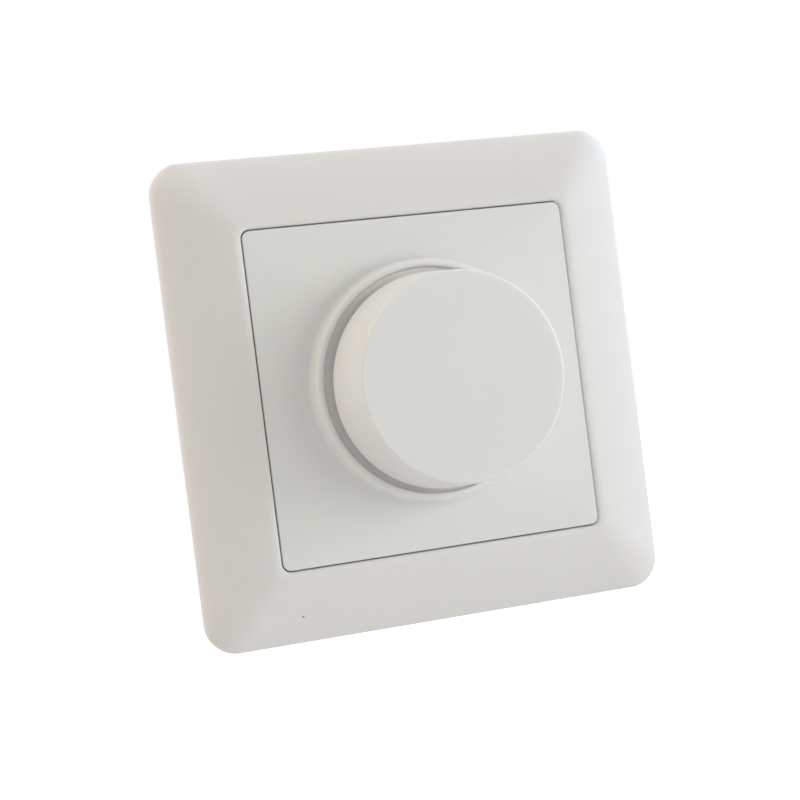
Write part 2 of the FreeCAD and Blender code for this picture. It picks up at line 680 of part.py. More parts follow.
def rear_housing():
    """The deep moulded cup that fits the wall box."""
    corner = HOUSING_CORNER_R
    body = rounded_slab(HOUSING_SIZE, HOUSING_SIZE, corner, -HOUSING_DEPTH, COVER_BACK)
    body = body.makeFillet(HOUSING_EDGE_R, rim_edges(body, -HOUSING_DEPTH, HOUSING_SIZE / 2))
    room = 2 * INSIDE_HALF
    body = body.cut(rounded_slab(room, room, corner - HOUSING_WALL, HOUSING_FLOOR, COVER_BACK + 1))
    bosses = [disc(BOSS_R, HOUSING_FLOOR - HOUSING_WALL / 2, COVER_BACK, x, z) for x, z in housing_corners()]
    rails = []
    for side in (-1, 1):
        middle = side * (INSIDE_HALF - RAIL_WIDTH / 2 + HOUSING_WALL / 4)
        rails.append(centred_block(RAIL_WIDTH + HOUSING_WALL / 2, RAIL_LENGTH,
                                   HOUSING_FLOOR - HOUSING_WALL / 2, BOARD_BACK, middle, 0))
    body = joined([body] + bosses + rails)
    for x, z in housing_corners():
        body = body.cut(disc(SCREW_R + SEAT_GAP, COVER_BACK - SCREW_LENGTH, COVER_BACK + 1, x, z))
    for x in terminal_places():
        body = body.cut(disc(DRIVER_HOLE_R, -HOUSING_DEPTH - 1, HOUSING_FLOOR + 1, x, clamp_z()))
        body = body.cut(wire_hole(x, -HOUSING_SIZE / 2 - 1, -INSIDE_HALF + 1))
    for slot in vent_slots():
        body = body.cut(slot)
    return body


def vent_slots():
    """A row of round-ended slots that let the heat out through the housing's back wall."""
    slots = []
    first = -VENT_PITCH * (VENTS - 1) / 2
    for i in range(VENTS):
        slots.append(rounded_slab(VENT_WIDTH, VENT_LENGTH, VENT_CORNER_R, -HOUSING_DEPTH - 1,
                                  HOUSING_FLOOR + 1, first + VENT_PITCH * i, VENT_Z))
    return slots


def terminal_places():
    """The positions across of the terminals."""
    first = -TERMINAL_PITCH * (TERMINALS - 1) / 2
    return [first + TERMINAL_PITCH * i for i in range(TERMINALS)]


def block_low_z():
    """The lower face of the terminal block, just inside the housing wall."""
    return -INSIDE_HALF + CLEARANCE


def clamp_z():
    """The height of the clamp screws' axes."""
    return block_low_z() + BLOCK_WALL + CLEARANCE + CAGE_DEPTH / 2


def cage_top():
    """The front of the clamp cages, under the wall of the terminal block."""
    return BOARD_BACK - BLOCK_WALL - CLEARANCE / 2


def wire_hole(x, z_low, z_high):
    """A round way in for one wire, in line with the window of its clamp cage."""
    height = cage_top() - CAGE_WALL - WIRE_HOLE_R
    return Part.makeCylinder(WIRE_HOLE_R, z_high - z_low, point(x, z_low, height), Vector(0, 0, 1))


def terminal_block():
    """The moulded block that holds the clamp cages."""
    low_z = block_low_z()
    low = HOUSING_FLOOR + CLEARANCE / 2
    half = TERMINAL_PITCH * TERMINALS / 2
    body = block(-half, half, low_z, low_z + BLOCK_DEPTH, low, BOARD_BACK)
    room_x = CAGE_WIDTH + CLEARANCE
    room_z = CAGE_DEPTH + 2 * CLEARANCE
    for x in terminal_places():
        body = body.cut(centred_block(room_x, room_z, low - 1, BOARD_BACK - BLOCK_WALL, x, clamp_z()))
        body = body.cut(wire_hole(x, low_z - 1, clamp_z()))
        body = body.cut(centred_block(CAGE_WALL + CLEARANCE, CAGE_WALL + CLEARANCE,
                                      low, BOARD_BACK + 1, x, clamp_z() + CAGE_DEPTH / 2 - CAGE_WALL / 2))
    return body


def clamp_cages():
    """The metal cages that grip the wires, each with a solder pin to the board."""
    cages = []
    top = cage_top()
    window = CAGE_WIDTH - 2 * CAGE_WALL
    for x in terminal_places():
        body = centred_block(CAGE_WIDTH, CAGE_DEPTH, top - CAGE_HEIGHT, top, x, clamp_z())
        roof = top - CAGE_WALL
        body = body.cut(centred_block(window, CAGE_DEPTH + 2, roof - window, roof, x, clamp_z()))
        body = body.cut(disc(CLAMP_SCREW_R + SEAT_GAP, top - CAGE_HEIGHT - 1, roof, x, clamp_z()))
        pin_z = clamp_z() + CAGE_DEPTH / 2 - CAGE_WALL / 2
        pin = centred_block(CAGE_WALL, CAGE_WALL, top - CAGE_WALL / 2, BOARD_BACK, x, pin_z)
        cages.append(joined([body, pin]))
    return Part.makeCompound(cages)


def clamp_screws():
    """The screws that close the clamps, with a straight slot in each head."""
    screws = []
    head_top = cage_top() - CAGE_HEIGHT - CLEARANCE
    head_low = head_top - CLAMP_HEAD_THICK
    tip = cage_top() - CAGE_WALL - 2 * WIRE_HOLE_R + WIRE_HOLE_R / 2
    for x in terminal_places():
        body = joined([
            disc(CLAMP_SCREW_R, head_top, tip, x, clamp_z()),
            disc(CLAMP_HEAD_R, head_low, head_top, x, clamp_z()),
        ])
        cut = centred_block(3 * CLAMP_HEAD_R, CLAMP_SLOT, head_low - 1, head_low + CLAMP_SLOT, x, clamp_z())
        screws.append(body.cut(cut))
    return Part.makeCompound(screws)


def housing_screws():
    """The four screws through the strap into the housing."""
    screws = []
    for x, z in housing_corners():
        head_top = STRAP_THICK + SCREW_HEAD_THICK
        head = disc(SCREW_HEAD_R, STRAP_THICK, head_top, x, z)
        head = head.makeFillet(SCREW_HEAD_THICK / 2, circles(head, SCREW_HEAD_R, head_top))
        shank = disc(SCREW_R, COVER_BACK - SCREW_LENGTH + 1, STRAP_THICK, x, z)
        body = joined([head, shank])
        low = STRAP_THICK + SCREW_HEAD_THICK / 2
        for width, tall in ((SCREW_CROSS, SCREW_SLOT), (SCREW_SLOT, SCREW_CROSS)):
            body = body.cut(centred_block(width, tall, low, head_top + 1, x, z))
        screws.append(body)
    return Part.makeCompound(screws)


def potentiometer_body():
    """The round case of the potentiometer, with the stop for its wiper."""
    body = disc(POT_R, BOARD_FRONT, COVER_BACK)
    room = POT_R - POT_WALL
    body = body.cut(disc(room, POT_BACK_INSIDE, POT_FRONT_INSIDE))
    body = body.cut(disc(BUSHING_R + SEAT_GAP, POT_FRONT_INSIDE - 1, COVER_BACK + 1))
    body = body.cut(disc(DRIVE_R + CLEARANCE, BOARD_FRONT - 1, POT_BACK_INSIDE + 1))

    # The stop fills the part of the circle that the wiper's lug never reaches
    lug_half = math.degrees(LUG_WIDTH / 2 / ROTOR_R)
    free = (360.0 - TURN_RANGE) / 2 - lug_half - STOP_MARGIN
    stop_low = POT_BACK_INSIDE - POT_WALL / 2
    sector = tube(room + POT_WALL / 2, ROTOR_R + RUNNING_GAP, stop_low, ROTOR_DISC_TOP)
    reach = 2 * POT_R
    bearings = [math.radians(180 + turn) for turn in (-free, 0, free)]
    corners = [point(0, 0, 0)] + [point(reach * math.sin(a), reach * math.cos(a), 0) for a in bearings]
    wedge = Part.Face(Part.makePolygon(corners + corners[:1])).extrude(Vector(0, 2 * POT_DEPTH, 0))
    return joined([body, sector.common(wedge)])


def potentiometer_track():
    """The ring that carries the resistance track."""
    room = POT_R - POT_WALL - RUNNING_GAP
    return tube(room, TRACK_INNER_R, TRACK_LOW, TRACK_LOW + TRACK_THICK)


def potentiometer_rotor():
    """The wiper carrier, which the shaft turns and slides through."""
    body = joined([
        disc(ROTOR_R, ROTOR_LOW, ROTOR_DISC_TOP),
        disc(ROTOR_HUB_R, ROTOR_LOW, ROTOR_TOP),
    ])
    lug = centred_block(LUG_WIDTH, ROTOR_R / 2, ROTOR_LOW + RUNNING_GAP, ROTOR_DISC_TOP, 0,
                        ROTOR_R + LUG_REACH - ROTOR_R / 4)
    start = 180.0 + (360.0 - TURN_RANGE) / 2
    wipers = [
        disc(WIPER_PIN_R, ROTOR_DISC_TOP - OVERLAP, TRACK_LOW - RUNNING_GAP, 0, WIPER_R + step)
        for step in (-WIPER_STEP, WIPER_STEP)
    ]
    body = joined([body, about_axis(lug, start)] + [about_axis(wiper, start) for wiper in wipers])
    bore = drive_bar(DRIVE_R + RUNNING_GAP, DRIVE_FLAT + RUNNING_GAP, ROTOR_LOW - 1, ROTOR_TOP + 1)
    return body.cut(bore)


def circuit_board():
    """The board on its two rails, cut away round the screw bosses and the shaft."""
    width = 2 * (INSIDE_HALF - BOARD_GAP)
    corner = HOUSING_CORNER_R - HOUSING_WALL - BOARD_GAP
    body = rounded_slab(width, width, corner, BOARD_BACK, BOARD_FRONT)
    for x, z in housing_corners():
        body = body.cut(disc(BOSS_R + CLEARANCE, BOARD_BACK - 1, BOARD_FRONT + 1, x, z))
    return body.cut(disc(DRIVE_R + 2 * CLEARANCE, BOARD_BACK - 1, BOARD_FRONT + 1))


def switch_body():
    """The case of the push switch, behind the board."""
    low = BOARD_BACK - SWITCH_DEPTH
    body = rounded_slab(SWITCH_SIZE, SWITCH_SIZE, SWITCH_CORNER_R, low, BOARD_BACK)
    room = SWITCH_SIZE - 2 * SWITCH_WALL
    body = body.cut(centred_block(room, room, SWITCH_INSIDE_LOW, SWITCH_INSIDE_TOP))
    return body.cut(disc(DRIVE_R + CLEARANCE, SWITCH_INSIDE_TOP - 1, BOARD_BACK + 1))


def switch_slider():
    """The sprung slider that the shaft pushes back."""
    room = SWITCH_SIZE - 2 * SWITCH_WALL - 2 * CLEARANCE
    plate = centred_block(room, room, SLIDER_LOW, SLIDER_TOP)
    return joined([plate, disc(SLIDER_PIN_R, SLIDER_LOW - SLIDER_PIN_LENGTH, SLIDER_LOW)])


def contact_bridge():
    """The strip on the slider that closes the two contacts."""
    room = SWITCH_SIZE - 2 * SWITCH_WALL - 2 * CLEARANCE
    strip = centred_block(room, BRIDGE_WIDTH + 2 * SPRING_R, BRIDGE_LOW, SLIDER_LOW)
    return strip.cut(disc(SLIDER_PIN_R + SEAT_GAP, BRIDGE_LOW - 1, SLIDER_LOW + 1))


def switch_contacts():
    """The two fixed contacts at the back of the switch."""
    top = BRIDGE_LOW - PUSH_TRAVEL - RUNNING_GAP
    place = SWITCH_SIZE / 2 - SWITCH_WALL - CONTACT_SIZE / 2 - CLEARANCE
    return Part.makeCompound([
        centred_block(CONTACT_SIZE, CONTACT_SIZE, SWITCH_INSIDE_LOW, top, x) for x in (-place, place)
    ])


def return_spring():
    """The coil spring that brings the slider, the shaft and the knob forward."""
    length = BRIDGE_LOW - SWITCH_INSIDE_LOW - 2 * SPRING_WIRE_R - 2 * SEAT_GAP
    pitch = length / SPRING_TURNS
    helix = Part.makeHelix(pitch, length, SPRING_R)
    outward = Vector(1, 0, 0)
    across = Vector(0, 2 * math.pi * SPRING_R, pitch).normalize().cross(outward)
    corners = []
    for i in range(SPRING_WIRE_SIDES):
        turn = 2 * math.pi * i / SPRING_WIRE_SIDES
        out = SPRING_R + SPRING_WIRE_R * math.cos(turn)
        corners.append(outward * out + across * (SPRING_WIRE_R * math.sin(turn)))
    section = Part.makePolygon(corners + corners[:1])
    body = Part.Wire(helix).makePipeShell([section], True, True)
    body.rotate(Vector(0, 0, 0), Vector(1, 0, 0), 90)
    body.translate(point(0, 0, SWITCH_INSIDE_LOW + SPRING_WIRE_R + SEAT_GAP))
    return body


def trimmer_body():
    """The small preset that sets the lowest brightness."""
    top = BOARD_FRONT + TRIMMER_BODY_HEIGHT
    body = centred_block(TRIMMER_SIZE, TRIMMER_SIZE, BOARD_FRONT, top, TRIMMER_X, TRIMMER_Z)
    return body.cut(disc(TRIMMER_R + RUNNING_GAP, top - TRIMMER_BORE_DEPTH, top + 1, TRIMMER_X, TRIMMER_Z))


def trimmer_rotor():
    """The screwdriver-slotted spindle of the preset, reached through the strap."""
    low = BOARD_FRONT + TRIMMER_BODY_HEIGHT - TRIMMER_BORE_DEPTH + RUNNING_GAP
    top = STRAP_THICK / 2
    body = disc(TRIMMER_R, low, top, TRIMMER_X, TRIMMER_Z)
    return body.cut(centred_block(3 * TRIMMER_R, TRIMMER_SLOT, top - 1, top + 1, TRIMMER_X, TRIMMER_Z))


def choke_height():
    """The height of the choke's axis, so that the winding just clears the board."""
    return BOARD_FRONT + CHOKE_OUTER_R + SEAT_GAP


def along_x(outline, x, z, height):
    """A solid turned about an axis along X, from (distance along, radius) points."""
    corners = [Vector(x + along, -height, z + radius) for along, radius in outline]
    face = Part.Face(Part.makePolygon(corners + corners[:1]))
    return face.revolve(Vector(x, -height, z), Vector(1, 0, 0), 360)


def sleeve(length, inner, outer, x, z, height):
    """A tube along X, or a rod if its inner radius is nothing."""
    half = length / 2
    return along_x([(-half, inner), (half, inner), (half, outer), (-half, outer)], x, z, height)


def choke_core():
    """The ferrite rod of the suppression choke."""
    return sleeve(CHOKE_LENGTH, 0, CHOKE_CORE_R, 0, CHOKE_Z, choke_height())


def choke_winding():
    """One layer of thick wire round the rod, as a row of rings."""
    length = CHOKE_TURNS * CHOKE_WIRE
    inner = CHOKE_CORE_R + SEAT_GAP
    middle = inner + CHOKE_WIRE / 2
    body = sleeve(length, inner, middle, 0, CHOKE_Z, choke_height())
    for i in range(CHOKE_TURNS):
        centre = Vector(CHOKE_WIRE * (i + 0.5) - length / 2, -choke_height(), CHOKE_Z)
        body = body.fuse(Part.makeTorus(middle, CHOKE_WIRE / 2 - SEAT_GAP, centre, Vector(1, 0, 0)))
    return body.cut(sleeve(length + 2, 0, inner, 0, CHOKE_Z, choke_height()))


def film_capacitor():
    """The box capacitor below the potentiometer."""
    top = BOARD_FRONT + CAPACITOR_HEIGHT
    return rounded_slab(CAPACITOR_WIDTH, CAPACITOR_DEPTH, CAPACITOR_CORNER_R,
                        BOARD_FRONT, top, 0, CAPACITOR_Z)


def insulating_pad():
    """The thin pad between the strap and the transistor."""
    x = transistor_x()
    half = TRANSISTOR_WIDTH / 2
    body = block(x - half, x + half, -TRANSISTOR_BODY, TRANSISTOR_TAB, -PAD_THICK, 0)
    return body.cut(disc(RIVET_R + SEAT_GAP, -1, 1, x, rivet_z()))


def power_transistor():
    """The power transistor, its tab cooled by the strap and its leads in the board."""
    x = transistor_x()
    half = TRANSISTOR_WIDTH / 2
    tab_low = -PAD_THICK - TRANSISTOR_TAB_THICK
    tab = block(x - half, x + half, -TRANSISTOR_LEAD, TRANSISTOR_TAB, tab_low, -PAD_THICK)
    case = block(x - half, x + half, -TRANSISTOR_BODY, 0, -PAD_THICK - TRANSISTOR_THICK, -PAD_THICK)
    parts = [tab, case]
    lead_high = -PAD_THICK - TRANSISTOR_LEAD_DEPTH
    edge = TRANSISTOR_LEAD / 2
    root = -TRANSISTOR_BODY + edge
    out = -TRANSISTOR_BODY - 2 * TRANSISTOR_LEAD
    for step in (-1, 0, 1):
        left = x + step * TRANSISTOR_LEAD_PITCH - edge
        right = left + TRANSISTOR_LEAD
        parts.append(block(left, right, out, root, lead_high - TRANSISTOR_LEAD, lead_high))
        parts.append(block(left, right, out, out + TRANSISTOR_LEAD, BOARD_FRONT, lead_high))
    body = joined(parts)
    return body.cut(disc(RIVET_R + SEAT_GAP, tab_low - 1, 1, x, rivet_z()))


def tab_rivet():
    """The rivet that presses the transistor to the strap."""
    x = transistor_x()
    low = -PAD_THICK - TRANSISTOR_TAB_THICK
    return joined([
        disc(RIVET_R, low, STRAP_THICK, x, rivet_z()),
        disc(RIVET_HEAD_R, STRAP_THICK, STRAP_THICK + RIVET_HEAD_THICK, x, rivet_z()),
        disc(RIVET_HEAD_R, low - RIVET_HEAD_THICK, low, x, rivet_z()),
    ])


def smoothing_capacitor():
    """The round capacitor behind the board."""
    low = BOARD_BACK - SMOOTHING_LENGTH
    body = disc(SMOOTHING_R, low, BOARD_BACK, SMOOTHING_X, SMOOTHING_Z)
    middle = BOARD_BACK - SMOOTHING_GROOVE_PLACE
    groove = tube(SMOOTHING_R + 1, SMOOTHING_R - SMOOTHING_GROOVE, middle - SMOOTHING_GROOVE,
                  middle + SMOOTHING_GROOVE, SMOOTHING_X, SMOOTHING_Z)
    return body.cut(groove)


def resistors():
    """Two small resistors lying on the back of the board."""
    half = RESISTOR_LENGTH / 2
    cap = half - RESISTOR_END
    neck = cap - (RESISTOR_R - RESISTOR_WAIST_R) * 2
    outline = [
        (-half, 0), (half, 0), (half, RESISTOR_R), (cap, RESISTOR_R), (neck, RESISTOR_WAIST_R),
        (-neck, RESISTOR_WAIST_R), (-cap, RESISTOR_R), (-half, RESISTOR_R),
    ]
    height = BOARD_BACK - RESISTOR_R
    return Part.makeCompound([along_x(outline, RESISTOR_X, z, height) for z in (0.0, RESISTOR_PITCH)])


def fuse_height():
    """The height of the fuse's axis behind the board."""
    return BOARD_BACK - CLIP_WALL - SEAT_GAP - FUSE_R


def fuse_tube():
    """The glass tube of the fuse."""
    outer = FUSE_R - CLIP_WALL / 2 - SEAT_GAP
    length = FUSE_LENGTH - 2 * FUSE_GLASS_WALL
    return sleeve(length, outer - FUSE_GLASS_WALL, outer, 0, FUSE_Z, fuse_height())


def fuse_caps():
    """The two metal end caps of the fuse."""
    end = FUSE_LENGTH / 2
    mouth = end - FUSE_CAP
    seat = end - FUSE_GLASS_WALL + SEAT_GAP
    inner = FUSE_R - CLIP_WALL / 2
    caps = []
    for sign in (-1, 1):
        outline = [
            (sign * end, 0), (sign * end, FUSE_R), (sign * mouth, FUSE_R),
            (sign * mouth, inner), (sign * seat, inner), (sign * seat, 0),
        ]
        caps.append(along_x(outline, 0, FUSE_Z, fuse_height()))
    return Part.makeCompound(caps)


def fuse_clips():
    """The two spring clips that hold the fuse."""
    clips = []
    inner = FUSE_R + SEAT_GAP
    width = FUSE_CAP - 2 * CLIP_WALL
    centre = (FUSE_LENGTH - FUSE_CAP) / 2
    for x in (-centre, centre):
        ring = sleeve(width, inner, inner + CLIP_WALL, x, FUSE_Z, fuse_height())
        mouth = centred_block(width + 2, CLIP_MOUTH, fuse_height() - 2 * FUSE_R, fuse_height(), x, FUSE_Z)
        clips.append(ring.cut(mouth))
    return Part.makeCompound(clips)


PIECES = [
    surround_frame, cover_plate, knob, knob_clip, control_shaft, cover_nut, cover_washer, bushing_nut,
    threaded_bushing, mounting_strap, insert_cover, rear_housing, housing_screws,
    potentiometer_body, potentiometer_track, potentiometer_rotor, circuit_board,
    switch_body, switch_slider, contact_bridge, switch_contacts, return_spring,
    trimmer_body, trimmer_rotor, choke_core, choke_winding, film_capacitor,
    insulating_pad, power_transistor, tab_rivet, smoothing_capacitor, resistors,
    fuse_tube, fuse_caps, fuse_clips, terminal_block, clamp_cages, clamp_screws,
]


def main():
    """Build every piece and write one STEP file for each."""
    os.makedirs("parts", exist_ok=True)
    for piece in PIECES:
        shape = piece()
        shape.exportStep("parts/" + piece.__name__ + ".step")
        print(piece.__name__, len(shape.Solids), "valid" if shape.isValid() else "NOT VALID", round(shape.Volume, 1))


main()
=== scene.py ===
"""Looks of a flush-mounted rotary dimmer switch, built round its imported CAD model.

The wall is the plane y = 0: the front looks along -Y, +Z is up and +X is to the right. "Height" means
the distance in front of the wall, so a point at a height h lies at y = -h. All lengths are in metres.
"""

import json
import logging
import math
from dataclasses import dataclass
from enum import Enum, unique
from typing import Sequence

import bmesh
import bpy
from mathutils import Matrix, Vector


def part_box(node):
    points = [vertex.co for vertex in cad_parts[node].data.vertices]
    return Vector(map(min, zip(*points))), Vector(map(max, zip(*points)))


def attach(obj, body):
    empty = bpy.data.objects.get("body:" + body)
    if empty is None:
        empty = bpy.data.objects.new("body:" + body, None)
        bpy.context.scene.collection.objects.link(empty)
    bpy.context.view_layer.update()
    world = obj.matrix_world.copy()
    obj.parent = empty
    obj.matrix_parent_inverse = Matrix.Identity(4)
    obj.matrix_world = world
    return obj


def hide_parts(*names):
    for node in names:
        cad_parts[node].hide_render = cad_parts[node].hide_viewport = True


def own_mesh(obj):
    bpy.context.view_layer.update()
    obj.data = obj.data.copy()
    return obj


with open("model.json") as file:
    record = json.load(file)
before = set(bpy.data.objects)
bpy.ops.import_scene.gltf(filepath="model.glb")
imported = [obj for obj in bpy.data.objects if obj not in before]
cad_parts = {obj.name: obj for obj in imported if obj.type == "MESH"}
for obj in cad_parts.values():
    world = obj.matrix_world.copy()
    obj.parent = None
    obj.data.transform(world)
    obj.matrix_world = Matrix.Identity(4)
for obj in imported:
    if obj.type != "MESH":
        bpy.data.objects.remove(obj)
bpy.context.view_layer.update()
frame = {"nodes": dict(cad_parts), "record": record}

MM = 0.001
SMOOTH_ANGLE = math.radians(32.0)
# The smallest corner radius of a square loop.
HAIR = 0.0001
# Points nearer than the first become one, and edges shorter than the second go.
WELD = 1e-7
SLIVER = 1e-8
# Sockets of a Mix node that mixes colours: the share, both colours and the result.
MIX_SHARE, MIX_ONE, MIX_TWO, MIX_RESULT = 0, 6, 7, 2

log = logging.getLogger("dimmer")

Piece = bpy.types.Object
Material = bpy.types.Material
Socket = bpy.types.NodeSocket
Pair = tuple[float, float]
Triple = tuple[float, float, float]
Colour = Triple
Faces = list[tuple[int, ...]]
Inputs = dict[str | int, object]


class Body(str, Enum):
    """The CAD bodies that the new pieces ride on."""

    BASE = "base"
    KNOB = "turning_knob"


class Cut(str, Enum):
    """How one solid changes another."""

    ADD = "UNION"
    REMOVE = "DIFFERENCE"


# Sections and the solids swept from them


@dataclass(frozen=True)
class Station:
    """One point of a section that is swept round the knob's axis."""

    reach: float  # Distance from the axis, to the middle of a side where the loop is square.
    height: float  # Distance in front of the wall.
    radius: float = 0.0  # Radius of the round that softens the section here.
    corner: float | None = None  # Radius of the loop's corners, or None where the loop is a circle.


def rounded(bends: Sequence[Station], closed: bool = True, steps: int = 5) -> list[Station]:
    """Rounds the corners of a section.

    Args:
        bends: The section's corners in order.
        closed: Whether the last corner joins the first.
        steps: How many parts each round has.

    Returns:
        The section's stations, with an arc at every corner that has a radius.
    """
    stations: list[Station] = []
    count = len(bends)
    for index, bend in enumerate(bends):
        at_end = not closed and index in (0, count - 1)
        if bend.radius <= 0 or at_end:
            stations.append(Station(bend.reach, bend.height, corner=bend.corner))
            continue
        here = Vector((bend.reach, bend.height))
        before = bends[index - 1]
        after = bends[(index + 1) % count]
        back = (Vector((before.reach, before.height)) - here).normalized()
        ahead = (Vector((after.reach, after.height)) - here).normalized()
        half_angle = back.angle(ahead) / 2
        length = bend.radius / math.tan(half_angle)
        centre = here + (back + ahead).normalized() * (bend.radius / math.sin(half_angle))
        first = here + back * length - centre
        last = here + ahead * length - centre
        swing = first.angle_signed(last)
        for step in range(steps + 1):
            turn = -swing * step / steps
            spot = centre + Matrix.Rotation(turn, 2) @ first
            corner = None if bend.corner is None else max(HAIR, bend.corner + spot.x - bend.reach)
            stations.append(Station(spot.x, spot.y, corner=corner))
    return stations


def bezier(poles: Sequence[Pair], steps: int) -> list[Pair]:
    """Points on a cubic curve.

    Args:
        poles: The curve's four poles.
        steps: How many parts it is cut into.

    Returns:
        The points, both ends among them.
    """
    points: list[Pair] = []
    for step in range(steps + 1):
        t = step / steps
        weights = ((1 - t) ** 3, 3 * t * (1 - t) ** 2, 3 * t * t * (1 - t), t**3)
        x, y = (sum(w * pole[axis] for w, pole in zip(weights, poles)) for axis in (0, 1))
        points.append((x, y))
    return points


@dataclass(frozen=True)
class Loops:
    """How finely the loops of a swept solid are cut."""

    side: int  # Parts on each straight side.
    corner: int  # Parts in each corner.

    def square(self, station: Station) -> list[Vector]:
        """Points of a rounded square, evenly spaced as seen from the axis.

        Args:
            station: The loop's reach, height and corner radius.

        Returns:
            The points, clockwise as seen from the front.
        """
        corner = max(HAIR, station.corner or 0.0)
        flat = station.reach - corner
        widest = math.atan2(flat, station.reach)
        points: list[Vector] = []
        for quarter in range(4):
            turn = Matrix.Rotation(math.pi / 2 * quarter, 3, "Y")
            for step in range(self.side):
                x = station.reach * math.tan(widest * (2 * step / self.side - 1))
                points.append(turn @ Vector((x, -station.height, station.reach)))
            for step in range(self.corner):
                angle = math.pi / 2 * step / self.corner
                x, z = flat + corner * math.sin(angle), flat + corner * math.cos(angle)
                points.append(turn @ Vector((x, -station.height, z)))
        return points

    def circle(self, station: Station, like: Sequence[Vector]) -> list[Vector]:
        """Points of a circle, in the directions of another loop's points.

        Args:
            station: The circle's reach and height.
            like: The loop whose directions are used.

        Returns:
            The points, in the order of that loop.
        """
        points: list[Vector] = []
        for other in like:
            outward = Vector((other.x, 0.0, other.z)).normalized() * station.reach
            points.append(Vector((outward.x, -station.height, outward.z)))
        return points


def skin(rings: int, size: int, closed: bool) -> Faces:
    """Joins each ring of points to the next.

    Args:
        rings: How many rings there are.
        size: How many points each has.
        closed: Whether the last ring joins the first, otherwise both ends are capped.

    Returns:
        The points' numbers for each face.
    """
    faces: Faces = []
    for index in range(rings if closed else rings - 1):
        here = index * size
        there = (index + 1) % rings * size
        for step in range(size):
            after = (step + 1) % size
            faces.append((here + step, there + step, there + after, here + after))
    if not closed:
        last = (rings - 1) * size
        faces += [tuple(range(size)), tuple(range(last, last + size))]
    return faces


def swept(name: str, stations: Sequence[Station], loops: Loops, guide: Station) -> Piece:
    """Sweeps a closed section round the axis.

    Args:
        name: The new object's name.
        stations: The section's points in order.
        loops: How finely each loop is cut.
        guide: The loop that gives the circles their directions.

    Returns:
        The new object, closed and with its faces turned outward.
    """
    like = loops.square(guide)
    rings = [loops.circle(s, like) if s.corner is None else loops.square(s) for s in stations]
    points = [spot for ring in rings for spot in ring]
    return solid(name, points, skin(len(rings), len(like), closed=True))


def turned(name: str, stations: Sequence[Station], parts: int = 192) -> Piece:
    """Turns a section that begins and ends on the axis.

    Args:
        name: The new object's name.
        stations: The section's points, the first and last with no reach.
        parts: How many parts the circle has.

    Returns:
        The new object, closed and with its faces turned outward.
    """
    points: list[Triple] = []
    rings: list[list[int]] = []
    for station in stations:
        ring: list[int] = []
        for part in range(1 if station.reach < WELD else parts):
            angle = 2 * math.pi * part / parts
            ring.append(len(points))
            points.append((station.reach * math.sin(angle), -station.height, station.reach * math.cos(angle)))
        rings.append(ring)
    faces: Faces = []
    for one, two in zip(rings, rings[1:]):
        for part in range(parts):
            after = (part + 1) % parts
            corners = ((one, part), (two, part), (two, after), (one, after))
            faces.append(tuple(dict.fromkeys(ring[step % len(ring)] for ring, step in corners)))
    return solid(name, points, faces)


def solid(name: str, points: Sequence[Sequence[float]], faces: Sequence[Sequence[int]]) -> Piece:
    """Makes one object from points and faces.

    Args:
        name: The new object's name.
        points: The corners.
        faces: The corners' numbers for each face.

    Returns:
        The object, linked to the scene, smooth except at real edges.
    """
    mesh = bpy.data.meshes.new(name)
    mesh.from_pydata([tuple(p) for p in points], [], [tuple(f) for f in faces])
    piece = bpy.data.objects.new(name, mesh)
    bpy.context.scene.collection.objects.link(piece)
    finish_mesh(piece)
    return piece


def finish_mesh(piece: Piece) -> None:
    """Welds a mesh, turns its faces outward and smooths it up to its real edges.

    Args:
        piece: The object whose mesh is finished.
    """
    work = bmesh.new()
    work.from_mesh(piece.data)
    bmesh.ops.remove_doubles(work, verts=work.verts, dist=WELD)
    bmesh.ops.dissolve_degenerate(work, edges=work.edges, dist=SLIVER)
    bmesh.ops.recalc_face_normals(work, faces=work.faces)
    work.to_mesh(piece.data)
    work.free()
    piece.data.shade_smooth()
    piece.data.set_sharp_from_angle(angle=SMOOTH_ANGLE)


def block(name: str, low: Sequence[float], high: Sequence[float]) -> Piece:
    """Makes a box to be added to another solid or cut from it.

    Args:
        name: The new object's name.
        low: Its lowest corner.
        high: Its highest corner.

    Returns:
        The box.
    """
    points = [(x, y, z) for x in (low[0], high[0]) for y in (low[1], high[1]) for z in (low[2], high[2])]
    faces = [(0, 1, 3, 2), (4, 6, 7, 5), (0, 4, 5, 1), (2, 3, 7, 6), (0, 2, 6, 4), (1, 5, 7, 3)]
    return solid(name, points, faces)


def change(piece: Piece, tools: Sequence[Piece], how: Cut) -> None:
    """Adds tools to a piece, or cuts them from it, and removes them.

    Args:
        piece: The piece that changes.
        tools: The solids that are added or cut away.
        how: Whether they are added or cut away.
    """
    for tool in tools:
        modifier = piece.modifiers.new(how.name, "BOOLEAN")
        modifier.operation = how.value
        modifier.solver = "EXACT"
        modifier.object = tool
    graph = bpy.context.evaluated_depsgraph_get()
    mesh = bpy.data.meshes.new_from_object(piece.evaluated_get(graph))
    piece.modifiers.clear()
    old, piece.data = piece.data, mesh
    bpy.data.meshes.remove(old)
    for tool in tools:
        bpy.data.objects.remove(tool)
    finish_mesh(piece)


def spun(piece: Piece, degrees: float) -> Piece:
    """Turns a tool's mesh about the knob's axis, clockwise as seen from the front, and returns the tool."""
    piece.data.transform(Matrix.Rotation(math.radians(degrees), 4, "Y"))
    return piece


# Finishes


